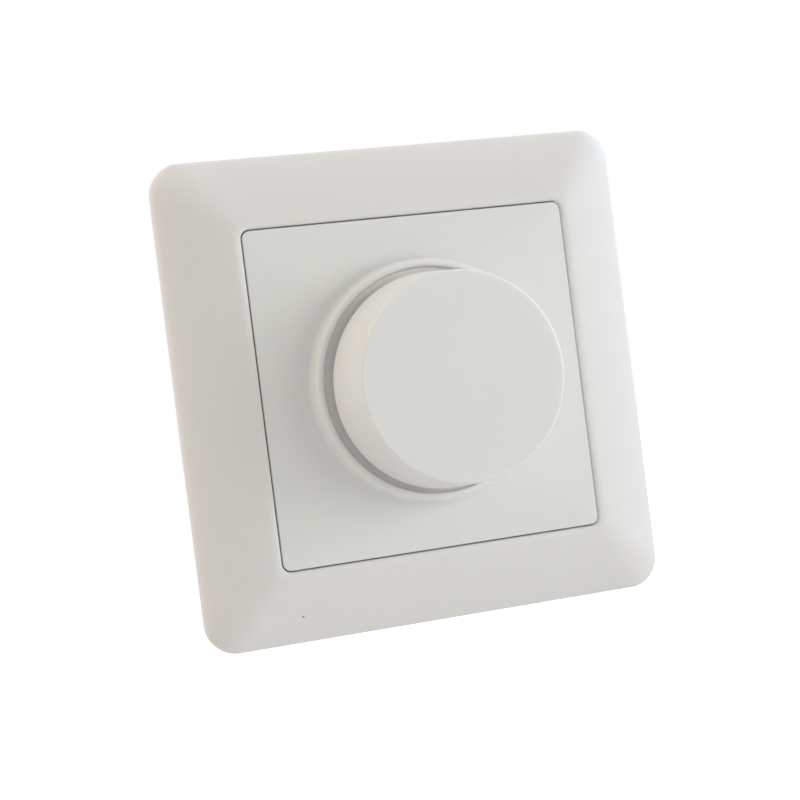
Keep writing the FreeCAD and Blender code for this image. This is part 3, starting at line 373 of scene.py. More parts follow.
class Nodes:
    """A node tree that is filled node by node."""

    def __init__(self, tree: bpy.types.NodeTree) -> None:
        """Takes the node tree of a material or of the world, and empties it."""
        self.tree = tree
        self.tree.nodes.clear()

    def feed(self, node: bpy.types.Node, inputs: Inputs) -> None:
        """Gives a node's inputs another node's output or a constant.

        Args:
            node: The node.
            inputs: What each input gets, by its name or number.
        """
        for key, value in inputs.items():
            if isinstance(value, Socket):
                self.tree.links.new(value, node.inputs[key])
            else:
                node.inputs[key].default_value = value

    def node(self, kind: str, inputs: Inputs | None = None, **values: object) -> bpy.types.Node:
        """Adds a node.

        Args:
            kind: The node's type.
            inputs: What its inputs get.
            **values: Its properties.

        Returns:
            The node.
        """
        made = self.tree.nodes.new(kind)
        for key, value in values.items():
            setattr(made, key, value)
        self.feed(made, inputs or {})
        return made


class Sheet(Nodes):
    """The nodes of one material."""

    def __init__(self, name: str) -> None:
        """Starts a material with its shader and its output.

        Args:
            name: The material's name.
        """
        self.material = bpy.data.materials.new(name)
        self.material.use_nodes = True
        super().__init__(self.material.node_tree)
        self.shader = self.node("ShaderNodeBsdfPrincipled")
        self.output = self.node("ShaderNodeOutputMaterial", {"Surface": self.shader.outputs[0]})
        self.place = self.node("ShaderNodeTexCoord").outputs["Object"]

    def finished(self, inputs: Inputs) -> Material:
        """Feeds the shader and hands over the material."""
        self.feed(self.shader, inputs)
        return self.material

    def noise(self, size: float, detail: float = 3.0, stretch: Triple = (1.0, 1.0, 1.0)) -> Socket:
        """A cloudy pattern.

        Args:
            size: The width of one cloud, in metres.
            detail: How much finer pattern it holds.
            stretch: How much the pattern is squeezed along each axis.

        Returns:
            Its value, about 0.5 on average.
        """
        mapping = self.node("ShaderNodeMapping", {"Vector": self.place, "Scale": stretch})
        inputs = {"Vector": mapping.outputs["Vector"], "Scale": 1.0 / size, "Detail": detail}
        return self.node("ShaderNodeTexNoise", inputs).outputs["Fac"]

    def spread(self, value: Socket, low: float, high: float, start: float = 0.3, end: float = 0.7) -> Socket:
        """Maps a pattern so that its start becomes the low value and its end the high one."""
        inputs = {"Value": value, "From Min": start, "From Max": end, "To Min": low, "To Max": high}
        return self.node("ShaderNodeMapRange", inputs).outputs["Result"]

    def blend(self, amount: Socket, one: Colour | Socket, two: Colour | Socket) -> Socket:
        """Mixes two colours by a pattern.

        Args:
            amount: The share of the second colour.
            one: The first colour.
            two: The second colour.

        Returns:
            The mixed colour.
        """
        inputs: Inputs = {MIX_SHARE: amount}
        for key, colour in ((MIX_ONE, one), (MIX_TWO, two)):
            inputs[key] = colour if isinstance(colour, Socket) else (*colour, 1.0)
        return self.node("ShaderNodeMix", inputs, data_type="RGBA").outputs[MIX_RESULT]

    def dot(self, place: Triple, radius: float) -> Socket:
        """Marks one small uneven spot.

        Args:
            place: The spot's middle.
            radius: Its radius.

        Returns:
            1 in the spot and 0 round it.
        """
        apart = self.node("ShaderNodeVectorMath", {0: self.place, 1: place}, operation="DISTANCE")
        uneven = 0.3 * radius
        ragged = self.spread(self.noise(0.1 * MM, detail=1.0), -uneven, uneven)
        total = self.node("ShaderNodeMath", {0: apart.outputs["Value"], 1: ragged}, operation="ADD")
        return self.spread(total.outputs[0], 1.0, 0.0, start=0.7 * radius, end=1.4 * radius)

    def within(self, radius: float) -> Socket:
        """Marks what lies near the knob's axis.

        Args:
            radius: How far the mark reaches.

        Returns:
            1 near the axis and 0 beyond the radius.
        """
        level = self.node("ShaderNodeVectorMath", {0: self.place, 1: (1.0, 0.0, 1.0)}, operation="MULTIPLY")
        reach = self.node("ShaderNodeVectorMath", {0: level.outputs["Vector"]}, operation="LENGTH")
        edge = 0.3 * MM
        return self.spread(reach.outputs["Value"], 1.0, 0.0, start=radius - edge, end=radius + edge)

    def waves(self, axis: str, pitch: float) -> Socket:
        """Even waves along X, Y or Z, each as wide as the pitch, with heights from 0 to 1."""
        # The node's waves are pi / (10 * scale) wide.
        inputs = {"Vector": self.place, "Scale": math.pi / (10 * pitch)}
        return self.node("ShaderNodeTexWave", inputs, bands_direction=axis).outputs["Fac"]

    def relief(self, height: Socket, depth: float, under: Socket | None = None) -> Socket:
        """Turns a pattern into fine relief.

        Args:
            height: The pattern.
            depth: Its depth in metres.
            under: Relief that lies beneath it.

        Returns:
            The normal.
        """
        inputs: Inputs = {"Height": height, "Distance": depth}
        if under is not None:
            inputs["Normal"] = under
        return self.node("ShaderNodeBump", inputs).outputs["Normal"]


@dataclass(frozen=True)
class MouldedPlastic:
    """Injection-moulded plastic, with the faint unevenness of its mould."""

    colour: Colour
    roughness: float = 0.42  # How matt it is.
    tint: float = 0.012  # How much its colour wanders.
    wave: float = 0.012 * MM  # Depth of the slow waves in its surface.
    grain: float = 0.0012 * MM  # Depth of its fine grain.
    translucence: float = 0.0  # Share of the light that goes under its surface.
    speck: Triple | None = None  # Place of a dark grain moulded into its surface, if it has one.
    # Painted light: a lighter colour near the knob's axis that brightens the shaded ring inside the collar.
    pale: Colour = (1.0, 1.0, 1.0)  # Its lighter colour near the knob's axis.
    pale_radius: float = 0.0  # How far that reaches, or 0 where it has none.
    depth: float = 1.2 * MM  # How deep the light goes under its surface.
    scatter: Triple = (1.0, 0.75, 0.55)  # How far red, green and blue light go there, as shares of it.
    cloud: float = 16.0 * MM  # Width of the clouds in its colour.
    patch: float = 6.0 * MM  # Width of its duller and glossier patches.
    duller: float = 0.04  # How much more matt it gets in them.
    glossier: float = 0.03  # How much less.
    wave_size: float = 9.0 * MM  # Width of the slow waves.
    grain_size: float = 0.25 * MM  # Width of the fine grain.
    speck_radius: float = 0.16 * MM  # Radius of the dark grain.
    speck_colour: Colour = (0.16, 0.15, 0.14)

    def make(self, name: str) -> Material:
        """Builds the material.

        Args:
            name: Its name.

        Returns:
            The material.
        """
        sheet = Sheet(name)
        darker = tuple(max(0.0, c * (1 - self.tint)) for c in self.colour)
        lighter = tuple(min(1.0, c * (1 + self.tint)) for c in self.colour)
        colour = sheet.blend(sheet.noise(self.cloud, detail=2.0), darker, lighter)
        # Painted light: near the axis the colour turns lighter, to brighten the shaded ring inside the
        # collar.
        if self.pale_radius > 0:
            colour = sheet.blend(sheet.within(self.pale_radius), colour, self.pale)
        if self.speck is not None:
            colour = sheet.blend(sheet.dot(self.speck, self.speck_radius), colour, self.speck_colour)
        patches = sheet.noise(self.patch, detail=4.0)
        waves = sheet.relief(sheet.noise(self.wave_size, detail=1.0), self.wave)
        return sheet.finished({
            "Base Color": colour,
            "Roughness": sheet.spread(patches, self.roughness - self.glossier, self.roughness + self.duller),
            "Normal": sheet.relief(sheet.noise(self.grain_size, detail=4.0), self.grain, waves),
            "Subsurface Weight": self.translucence,
            "Subsurface Scale": self.depth,
            "Subsurface Radius": self.scatter,
        })


@dataclass(frozen=True)
class WorkedMetal:
    """Rolled, drawn or turned metal, with cloudy plating and the fine lines of its making."""

    colour: Colour
    shade: Colour  # The darker colour of its clouds.
    roughness: float = 0.3  # How matt it is.
    lines: Triple = (1.0, 1.0, 0.05)  # How much the fine lines are drawn out along each axis.
    cloud: float = 4.0 * MM  # Width of one cloud.
    score: float = 0.0015 * MM  # Depth of the lines.
    line_size: float = 0.18 * MM  # Width of one line.
    duller: float = 0.14  # How much more matt it gets along the lines.
    glossier: float = 0.08  # How much less.

    def make(self, name: str) -> Material:
        """Builds the material.

        Args:
            name: Its name.

        Returns:
            The material.
        """
        sheet = Sheet(name)
        clouds = sheet.spread(sheet.noise(self.cloud, detail=5.0), 0.0, 1.0, start=0.35, end=0.65)
        fine = sheet.noise(self.line_size, stretch=self.lines)
        return sheet.finished({
            "Base Color": sheet.blend(clouds, self.shade, self.colour),
            "Metallic": 1.0,
            "Roughness": sheet.spread(fine, self.roughness - self.glossier, self.roughness + self.duller),
            "Normal": sheet.relief(fine, self.score),
        })


@dataclass(frozen=True)
class Laminate:
    """Pressed board: a woven or fibrous core under a lacquer."""

    colour: Colour  # Its colour between the threads.
    thread: Colour  # Its colour on the threads.
    pitch: float = 0.55 * MM  # Distance between threads.
    weave_depth: float = 0.006 * MM  # How deep the weave is.
    patch: float = 3.0 * MM  # Width of its duller patches.
    gloss: Pair = (0.32, 0.46)  # Its roughness at the glossiest place and at the most matt one.

    def make(self, name: str) -> Material:
        """Builds the material.

        Args:
            name: Its name.

        Returns:
            The material.
        """
        sheet = Sheet(name)
        threads = {key: sheet.waves(axis, self.pitch) for key, axis in enumerate("XZ")}
        weave = sheet.node("ShaderNodeMath", threads, operation="MULTIPLY").outputs[0]
        return sheet.finished({
            "Base Color": sheet.blend(weave, self.colour, self.thread),
            "Roughness": sheet.spread(sheet.noise(self.patch, detail=3.0), *self.gloss),
            "Normal": sheet.relief(weave, self.weave_depth),
        })


@dataclass(frozen=True)
class Ceramic:
    """Sintered or dipped material: matt or glazed, with fine grit."""

    colour: Colour
    grit: Colour  # The colour of its grit.
    roughness: float = 0.6  # How matt it is.
    coat: float = 0.0  # Strength of a clear coat.
    grit_size: float = 0.16 * MM  # Width of the grit.
    uneven: float = 0.08  # How much more or less matt it gets with the grit.
    pit_size: float = 0.3 * MM  # Width of its pits.
    pit_depth: float = 0.01 * MM  # Their depth.

    def make(self, name: str) -> Material:
        """Builds the material.

        Args:
            name: Its name.

        Returns:
            The material.
        """
        sheet = Sheet(name)
        specks = sheet.spread(sheet.noise(self.grit_size, detail=2.0), 0.0, 1.0, start=0.52, end=0.66)
        return sheet.finished({
            "Base Color": sheet.blend(specks, self.colour, self.grit),
            "Roughness": sheet.spread(specks, self.roughness - self.uneven, self.roughness + self.uneven),
            "Normal": sheet.relief(sheet.noise(self.pit_size, detail=4.0), self.pit_depth),
            "Coat Weight": self.coat,
        })


@dataclass(frozen=True)
class ClearGlass:
    """A thin clear tube with faint streaks from drawing."""

    colour: Colour
    shade: float = 0.94  # How bright it is in the streaks.
    streak_size: float = 1.2 * MM  # Width of a streak.
    streak_lines: Triple = (0.1, 1.0, 1.0)  # How much the streaks are drawn out along each axis.
    streak_depth: float = 0.004 * MM  # Their depth.
    gloss: Pair = (0.02, 0.08)  # Its roughness at the glossiest place and at the most matt one.
    bending: float = 1.47  # How much it bends light.

    def make(self, name: str) -> Material:
        """Builds the material.

        Args:
            name: Its name.

        Returns:
            The material.
        """
        sheet = Sheet(name)
        streaks = sheet.noise(self.streak_size, detail=2.0, stretch=self.streak_lines)
        shaded = tuple(c * self.shade for c in self.colour)
        return sheet.finished({
            "Base Color": sheet.blend(streaks, self.colour, shaded),
            "Roughness": sheet.spread(streaks, *self.gloss),
            "Normal": sheet.relief(streaks, self.streak_depth),
            "Transmission Weight": 1.0,
            "IOR": self.bending,
        })


WHITE_FRAME = (0.780, 0.772, 0.757)
WHITE_PLATE = (0.787, 0.790, 0.775)
WHITE_KNOB = (0.787, 0.791, 0.781)
# The plate is lighter inside the collar, to fit the brightness of the ring in the photograph.
# This is painted light: a lighter colour that brightens the shaded ring between the collar and the knob.
PAINTED_LIGHT_IN_COLLAR = (0.915, 0.900, 0.885)
COLLAR_REACH = 18.5 * MM
# A dark grain at the surround's lower left, as in the photograph.
SPECK_PLACE = (-24.73 * MM, -6.44 * MM, -35.21 * MM)
# How the fine lines run on turned metal and on wound wire.
TURNED = (0.05, 1.0, 0.05)
WOUND = (1.0, 1.0, 1.0)


@unique
class Finish(Enum):
    """The finish of each material slot, under the slot's name."""

    FRAME_PLASTIC = MouldedPlastic(WHITE_FRAME, 0.5, translucence=0.5, speck=SPECK_PLACE)
    # The plate carries painted light, a lighter colour inside the collar.
    PLATE_PLASTIC = MouldedPlastic(
        WHITE_PLATE, translucence=0.5, pale=PAINTED_LIGHT_IN_COLLAR, pale_radius=COLLAR_REACH)
    KNOB_PLASTIC = MouldedPlastic(WHITE_KNOB, translucence=0.5)
    SPRING_STEEL = WorkedMetal((0.62, 0.63, 0.65), (0.48, 0.49, 0.52), 0.25)
    SHAFT_STEEL = WorkedMetal((0.72, 0.73, 0.74), (0.62, 0.63, 0.65), 0.22, TURNED)
    NUT_STEEL = WorkedMetal((0.74, 0.74, 0.72), (0.60, 0.61, 0.62), 0.3, TURNED)
    BUSHING_BRASS = WorkedMetal((0.80, 0.64, 0.32), (0.66, 0.48, 0.20), 0.28, TURNED)
    STRAP_STEEL = WorkedMetal((0.74, 0.745, 0.74), (0.675, 0.685, 0.69), 0.34)
    INSERT_PLASTIC = MouldedPlastic((0.030, 0.032, 0.035), 0.48, 0.06, 0.00001, 0.000008)
    HOUSING_PLASTIC = MouldedPlastic((0.026, 0.028, 0.031), 0.46, 0.06, 0.000012, 0.000009)
    SCREW_STEEL = WorkedMetal((0.72, 0.71, 0.66), (0.58, 0.57, 0.52), 0.3, TURNED)
    CASE_PLASTIC = MouldedPlastic((0.012, 0.012, 0.013), 0.42, 0.08, 0.00001, 0.000005)
    TRACK_BOARD = Laminate((0.16, 0.075, 0.03), (0.20, 0.10, 0.045), 0.3 * MM)
    WIPER_PLASTIC = MouldedPlastic((0.66, 0.64, 0.57), 0.4, 0.03, translucence=0.3)
    CIRCUIT_LAMINATE = Laminate((0.010, 0.075, 0.025), (0.020, 0.105, 0.040))
    CONTACT_BRASS = WorkedMetal((0.82, 0.66, 0.34), (0.68, 0.50, 0.22), 0.3)
    TRIMMER_PLASTIC = MouldedPlastic((0.012, 0.045, 0.20), 0.3, 0.05)
    FERRITE = Ceramic((0.020, 0.020, 0.021), (0.055, 0.055, 0.058), 0.62)
    COPPER_WIRE = WorkedMetal((0.72, 0.30, 0.14), (0.55, 0.19, 0.08), 0.24, WOUND, 1.5 * MM)
    CAPACITOR_CASE = MouldedPlastic((0.50, 0.31, 0.020), 0.3, 0.04)
    PAD_RUBBER = Ceramic((0.20, 0.205, 0.215), (0.26, 0.265, 0.275), 0.8)
    CAPACITOR_SLEEVE = MouldedPlastic((0.012, 0.014, 0.045), 0.25, 0.06, 0.00003)
    RESISTOR_COAT = Ceramic((0.42, 0.30, 0.15), (0.50, 0.38, 0.21), 0.35, 0.4)
    FUSE_GLASS = ClearGlass((0.94, 0.97, 0.96))
    TINNED_METAL = WorkedMetal((0.78, 0.78, 0.76), (0.66, 0.66, 0.65), 0.24, cloud=2.0 * MM)
    TERMINAL_PLASTIC = MouldedPlastic((0.115, 0.12, 0.125), 0.45, 0.05, 0.00001, 0.000008)

    @property
    def slot(self) -> str:
        """The record's material slot."""
        return self.name.lower()

    def make(self) -> Material:
        """Builds the finish's material."""
        return self.value.make(self.slot)


def place_piece(piece: Piece, body: Body, finish: Finish, *nodes: str) -> None:
    """Dresses a piece, ties it to its body and hides the CAD nodes that it stands for.

    Args:
        piece: The piece.
        body: The CAD body that it rides on.
        finish: Its finish, under the record's material slot.
        *nodes: The CAD nodes that it stands for.
    """
    piece.data.materials.clear()
    piece.data.materials.append(finish.make())
    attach(piece, body.value)
    finish.slot
    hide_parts(*nodes)
    log.info("%s: %d faces, stands for %s", piece.name, len(piece.data.polygons), ", ".join(nodes))


# Sub-assemblies


@dataclass
class SurroundFrame:
    """The square surround: mitred sides, rounded corners, a ledge for the plate and a ribbed back."""

    shoulder_drop: float = 2.45 * MM  # How far the shoulder lies below the land.
    shoulder_share: float = 0.41  # The shoulder's share of the border.
    land_share: float = 0.08  # The flat land's share of the border.
    fullness: float = 0.32  # How full the shoulder's curve is.
    face_fullness: float = 0.4  # How full the face's curve is.
    land_fullness: float = 0.08  # How softly the face's curve meets the land.
    swell: float = 1.45  # How much steeper than straight the face leaves the shoulder.
    edge_height: float = 2.0 * MM  # Height of the straight part of the outer edge.
    gap: float = 0.2 * MM  # Gap round the plate.
    opening_corner: float = 1.5 * MM  # Corner radius of the opening.
    lip: float = 0.6 * MM  # Round of the lip.
    ledge_depth: float = 4.05 * MM  # How deep the ledge lies.
    ledge_thick: float = 1.4 * MM  # The ledge's thickness.
    ledge_width: float = 1.7 * MM  # The ledge's width.
    edge_wall: float = 2.6 * MM  # Thickness of the outer wall.
    shoulder_wall: float = 4.4 * MM  # Where the hollow's second step begins.
    face_wall: float = 7.2 * MM  # Where its third and deepest step begins.
    wall: float = 2.0 * MM  # Thickness of the face.
    rib: float = 1.2 * MM  # Thickness of a rib.
    rib_in: float = 0.4 * MM  # How far a rib reaches into the inner wall.
    rib_out: float = 0.2 * MM  # How far it reaches into the outer one.
    rib_up: float = 0.05 * MM  # How far it reaches into the shoulder.
    strap: float = 1.0 * MM  # Height that the strap fills at the back.
    edge: float = 0.15 * MM  # Round of the small hidden edges.
    right_shift: float = 0.13 * MM  # How much finer the seam is at the plate's right side.
    ease: float = 4.0 * MM  # Length over which that begins in the opening and ends on the face.
    loops: Loops = Loops(side=36, corner=14)  # How finely its loops are cut.

    def __post_init__(self) -> None:
        """Takes the outer sizes from the frame."""
        low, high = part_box("surround_frame")
        self.half: float = high.x
        self.height: float = -low.y
        self.opening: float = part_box("cover_plate")[1].x + self.gap
        self.border: float = self.half - self.opening
        self.outer_corner: float = self.shoulder_share * self.border
        self.land: float = self.opening + self.land_share * self.border
        self.deep: float = self.height - self.shoulder_drop - self.wall
        self.middle: float = (self.edge_height + self.deep) / 2

    def corner_at(self, reach: float) -> float:
        """Corner radius of the front at a distance from the knob's axis."""
        share = (reach - self.opening) / self.border
        return self.opening_corner + share * (self.outer_corner - self.opening_corner)

    def outer_curves(self) -> list[Station]:
        """The shoulder and the face, from the outer edge to the land.

        Returns:
            Their stations.
        """
        start = self.half - self.outer_corner
        top = self.height - self.shoulder_drop
        slope = self.swell * self.shoulder_drop / (start - self.land)
        lean = self.fullness * (self.half - start)
        rise = self.fullness * (top - self.edge_height)
        shoulder = bezier([
            (self.half, self.edge_height), (self.half, self.edge_height + rise),
            (start + lean, top - slope * lean), (start, top),
        ], steps=22)
        run = self.face_fullness * (start - self.land)
        ease = self.land_fullness * (start - self.land)
        face = bezier([
            (start, top), (start - run, top + slope * run),
            (self.land + ease, self.height), (self.land, self.height),
        ], steps=18)
        return [Station(x, h, corner=self.corner_at(x)) for x, h in shoulder + face[1:]]

    def section(self) -> list[Station]:
        """The whole section of one side.

        Returns:
            Its stations, from the outer edge over the front and round the back.
        """
        ledge_top = self.height - self.ledge_depth
        ledge_low = ledge_top - self.ledge_thick
        ledge = self.opening - self.ledge_width
        deepest = self.deep + self.shoulder_drop / 2
        opening = [
            (self.opening, ledge_top, self.edge), (ledge, ledge_top, self.edge),
            (ledge, ledge_low, self.edge), (self.opening, ledge_low, 0.0),
            (self.opening, self.strap, self.edge), (self.land, self.strap, self.edge),
            (self.land, deepest, self.edge),
        ]
        hollow = [
            (self.face_wall, deepest), (self.face_wall, self.deep), (self.shoulder_wall, self.deep),
            (self.shoulder_wall, self.middle), (self.edge_wall, self.middle), (self.edge_wall, 0.0),
        ]
        inside = rounded([
            Station(self.land, self.height, 0.0, self.corner_at(self.land)),
            Station(self.opening, self.height, self.lip, self.opening_corner),
            *(Station(x, h, radius, self.opening_corner) for x, h, radius in opening),
            *(Station(self.half - x, h, self.edge, self.outer_corner / 2) for x, h in hollow),
            Station(self.half, 0.0, self.edge, self.outer_corner),
            Station(self.half, self.edge_height, 0.0, self.outer_corner),
        ], closed=False)
        return self.outer_curves() + inside[1:-1]

    def ribs(self) -> list[Piece]:
        """The ribs across the hollow back.

        Returns:
            One box for each rib.
        """
        inner = self.land - self.rib_in
        outer = self.half - self.edge_wall + self.rib_out
        front = self.middle + self.rib_up
        made: list[Piece] = []
        for offset in (-self.half / 2, self.half / 2):
            for quarter in range(4):
                near = (inner, -front, offset - self.rib / 2)
                far = (outer, -self.strap, offset + self.rib / 2)
                made.append(spun(block("rib", near, far), 90 * quarter))
        return made

    def close_right_gap(self, shell: Piece) -> None:
        """Brings the opening's right side nearer to the plate, where the seam is finer.

        Args:
            shell: The surround.
        """
        lip_end = self.opening + self.lip
        for spot in shell.data.vertices:
            before = (spot.co.x - self.opening + self.ease) / self.ease
            beyond = 1 - (spot.co.x - lip_end) / self.ease
            spot.co.x -= self.right_shift * max(0.0, min(1.0, before, beyond))

    def build(self) -> None:
        """Builds the surround and ties it to the base."""
        guide = Station(self.half, 0.0, corner=self.opening_corner)
        shell = swept("surround_shell", self.section(), self.loops, guide)
        change(shell, self.ribs(), Cut.ADD)
        self.close_right_gap(shell)
        place_piece(shell, Body.BASE, Finish.FRAME_PLASTIC, "surround_frame")


@dataclass
class CoverPlate:
    """The centre plate with its round collar, and the tray and ribs behind it."""

    corner: float = 1.3 * MM  # Corner radius of the plate.
    edge_round: float = 0.2 * MM  # Round of the plate's front edge.
    small_round: float = 0.12 * MM  # Round of the hidden edges.
    wall: float = 1.6 * MM  # Thickness of the plate.
    ledge_top: float = 5.0 * MM  # Height of the ledge that the plate rests on.
    collar_height: float = 5.75 * MM  # Height of the collar above the plate.
    collar_width: float = 1.75 * MM  # Thickness of the collar at its foot.
    draft: float = 0.45 * MM  # How much thinner it is at its top.
    inner_round: float = 0.42 * MM  # Round of the collar's inner edge.
    outer_round: float = 0.85 * MM  # Round of the collar's outer edge.
    foot_round: float = 1.4 * MM  # Round at the collar's foot.
    collar_gap: float = 0.8 * MM  # Gap between the knob's rim and the collar.
    collar_right: float = -0.16 * MM  # How far the collar stands to the right of the knob's axis.
    collar_up: float = 0.18 * MM  # How far it stands above it.
    collar_ease: float = 3.0 * MM  # Length over which that ends, on the deck and on the plate.
    step_depth: float = 0.95 * MM  # Depth of the deck under the knob's rim, below the collar's top.
    deck_round: float = 0.4 * MM  # Round of the deck's edge at the well.
    hole: float = 5.3 * MM  # Radius of the hole for the bushing.
    ring: float = 10.9 * MM  # Radius of the stiffening ring.
    rib: float = 1.2 * MM  # Thickness of the ribs.
    rib_back: float = 0.3 * MM  # How far the ribs end in front of the ledge.
    arm_count: int = 8  # Number of ribs round the well.
    loops: Loops = Loops(side=40, corner=8)  # How finely its loops are cut.

    def __post_init__(self) -> None:
        """Takes the outer sizes from the frame."""
        low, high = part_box("cover_plate")
        self.half: float = high.x
        self.collar_top: float = -low.y
        self.collar_inner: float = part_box("knob")[1].x + self.collar_gap
        self.front: float = self.collar_top - self.collar_height
        self.step: float = self.collar_top - self.step_depth

    def section(self) -> list[Station]:
        """The plate's section, from its outer edge over the collar and back behind it.

        Returns:
            Its stations.
        """
        floor = self.front - self.wall
        under = self.step - self.wall
        inside = self.half - self.wall
        foot = self.collar_inner + self.collar_width
        well = self.ring - self.rib
        behind = self.collar_inner - self.rib / 2
        rib_low = self.ledge_top + self.rib_back
        hidden = [
            (well, self.front), (self.hole, self.front), (self.hole, floor), (well, floor), (well, rib_low),
            (self.ring, rib_low), (self.ring, under), (behind, under), (behind, floor),
        ]
        return rounded([
            Station(self.half, self.ledge_top, self.small_round, self.corner),
            Station(self.half, self.front, self.edge_round, self.corner),
            Station(foot, self.front, self.foot_round),
            Station(foot - self.draft, self.collar_top, self.outer_round),
            Station(self.collar_inner, self.collar_top, self.inner_round),
            Station(self.collar_inner, self.step, self.small_round),
            Station(well, self.step, self.deck_round),
            *(Station(x, h, self.small_round) for x, h in hidden),
            Station(inside, floor, self.small_round, HAIR),
            Station(inside, self.ledge_top, self.small_round, HAIR),
        ], steps=6)

    def arms(self) -> list[Piece]:
        """The ribs from the well's wall to the tray's walls, taller under the deck.

        Returns:
            Two boxes for each rib.
        """
        near = self.ring - self.rib / 2
        low = -self.ledge_top - self.rib_back
        ends = (
            (self.half - self.wall / 2, self.front - self.wall / 2),
            (self.collar_inner + self.rib / 4, self.step - self.wall / 2),
        )
        made: list[Piece] = []
        for step in range(self.arm_count):
            for far, top in ends:
                arm = block("arm", (near, -top, -self.rib / 2), (far, low, self.rib / 2))
                made.append(spun(arm, 360 / self.arm_count * step))
        return made

    def settle_collar(self, plate: Piece) -> None:
        """Moves the collar a little off the knob's axis, as the photograph shows it.

        Args:
            plate: The centre plate.
        """
        outer = self.collar_inner + self.collar_width + self.foot_round
        for spot in plate.data.vertices:
            reach = math.hypot(spot.co.x, spot.co.z)
            before = (reach - self.collar_inner + 2 * self.collar_ease) / self.collar_ease
            beyond = 1 - (reach - outer) / self.collar_ease
            share = max(0.0, min(1.0, before, beyond))
            spot.co.x += self.collar_right * share
            spot.co.z += self.collar_up * share

    def build(self) -> None:
        """Builds the plate and ties it to the base."""
        guide = Station(self.half, 0.0, corner=self.corner)
        plate = swept("centre_plate", self.section(), self.loops, guide)
        change(plate, self.arms(), Cut.ADD)
        self.settle_collar(plate)
        place_piece(plate, Body.BASE, Finish.PLATE_PLASTIC, "cover_plate")


@dataclass
class Knob:
    """The knob: a smooth tapered cap with a hub and ribs inside."""

    taper: float = 1.0 * MM  # How much narrower its face is than its rim.
    edge_round: float = 0.5 * MM  # Round between the wall and the face.
    rim_round: float = 0.25 * MM  # Round of the outer rim.
    inner_round: float = 0.2 * MM  # Round of the edges inside.
    face_edge: float = 1.2 * MM  # Width of the face's outermost ring.
    wall: float = 1.6 * MM  # Thickness of the wall.
    ceiling: float = 1.8 * MM  # Thickness of the face.
    hub: float = 5.6 * MM  # Radius of the hub.
    clip_out: float = 0.47 * MM  # How far the clip stands out of the hub.
    rib: float = 1.0 * MM  # Thickness of a rib.
    rib_height: float = 6.2 * MM  # Height of a rib.
    rib_in: float = 0.4 * MM  # How far a rib reaches into the hub.
    ribs: int = 6  # Number of ribs.
    bore: float = 3.02 * MM  # Radius of the bore for the shaft.
    flat: float = 1.99 * MM  # Distance of the bore's flat from the axis.
    shaft_room: float = 0.3 * MM  # Gap before the shaft's end.
    beyond: float = 1.0 * MM  # How far a cut runs past what it cuts.
    hub_parts: int = 96  # Parts round the hub.
    bore_parts: int = 64  # Parts round the bore.

    def __post_init__(self) -> None:
        """Takes the outer sizes from the frame."""
        low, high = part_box("knob")
        self.rim_r: float = high.x
        self.face_r: float = self.rim_r - self.taper
        self.rim: float = -high.y
        self.face: float = -low.y

    def section(self) -> list[Station]:
        """The cap's section, from the middle of the face round the rim to the middle of the ceiling.

        Returns:
            Its stations.
        """
        ceiling = self.face - self.ceiling
        rings = (0.0, self.face_r / 3, self.face_r * 2 / 3, self.face_r - self.face_edge)
        return rounded([
            *(Station(reach, self.face) for reach in rings),
            Station(self.face_r, self.face, self.edge_round),
            Station(self.rim_r, self.rim, self.rim_round),
            Station(self.rim_r - self.wall, self.rim, self.inner_round),
            Station(self.face_r - self.wall, ceiling, self.inner_round),
            Station(0.0, ceiling),
        ], closed=False, steps=8)

    def column(self, name: str, radius: float, front: float, back: float, parts: int) -> Piece:
        """A round column on the axis, from a front height to a back one."""
        corners = ((0.0, front), (radius, front), (radius, back), (0.0, back))
        return turned(name, [Station(reach, height) for reach, height in corners], parts)

    def build(self) -> None:
        """Builds the knob and ties it to the turning body."""
        cap = turned("dimmer_knob", self.section())
        ceiling = self.face - self.ceiling
        inside = ceiling + self.ceiling / 2
        hub_low = -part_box("knob_clip")[1].y + self.clip_out
        hub = self.column("hub", self.hub, inside, hub_low, self.hub_parts)
        near = (self.hub - self.rib_in, -inside, -self.rib / 2)
        far = (self.face_r - self.wall / 2, -ceiling + self.rib_height, self.rib / 2)
        spokes = [spun(block("spoke", near, far), 360 / self.ribs * step) for step in range(self.ribs)]
        change(cap, [hub, *spokes], Cut.ADD)
        end = -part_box("control_shaft")[0].y + self.shaft_room
        bore = self.column("bore", self.bore, end, hub_low - self.beyond, self.bore_parts)
        near = (-self.hub, -end - self.beyond, self.flat)
        far = (self.hub, -hub_low + 2 * self.beyond, self.hub)
        flat = block("flat", near, far)
        change(bore, [flat], Cut.REMOVE)
        change(cap, [bore], Cut.REMOVE)
        place_piece(cap, Body.KNOB, Finish.KNOB_PLASTIC, "knob")


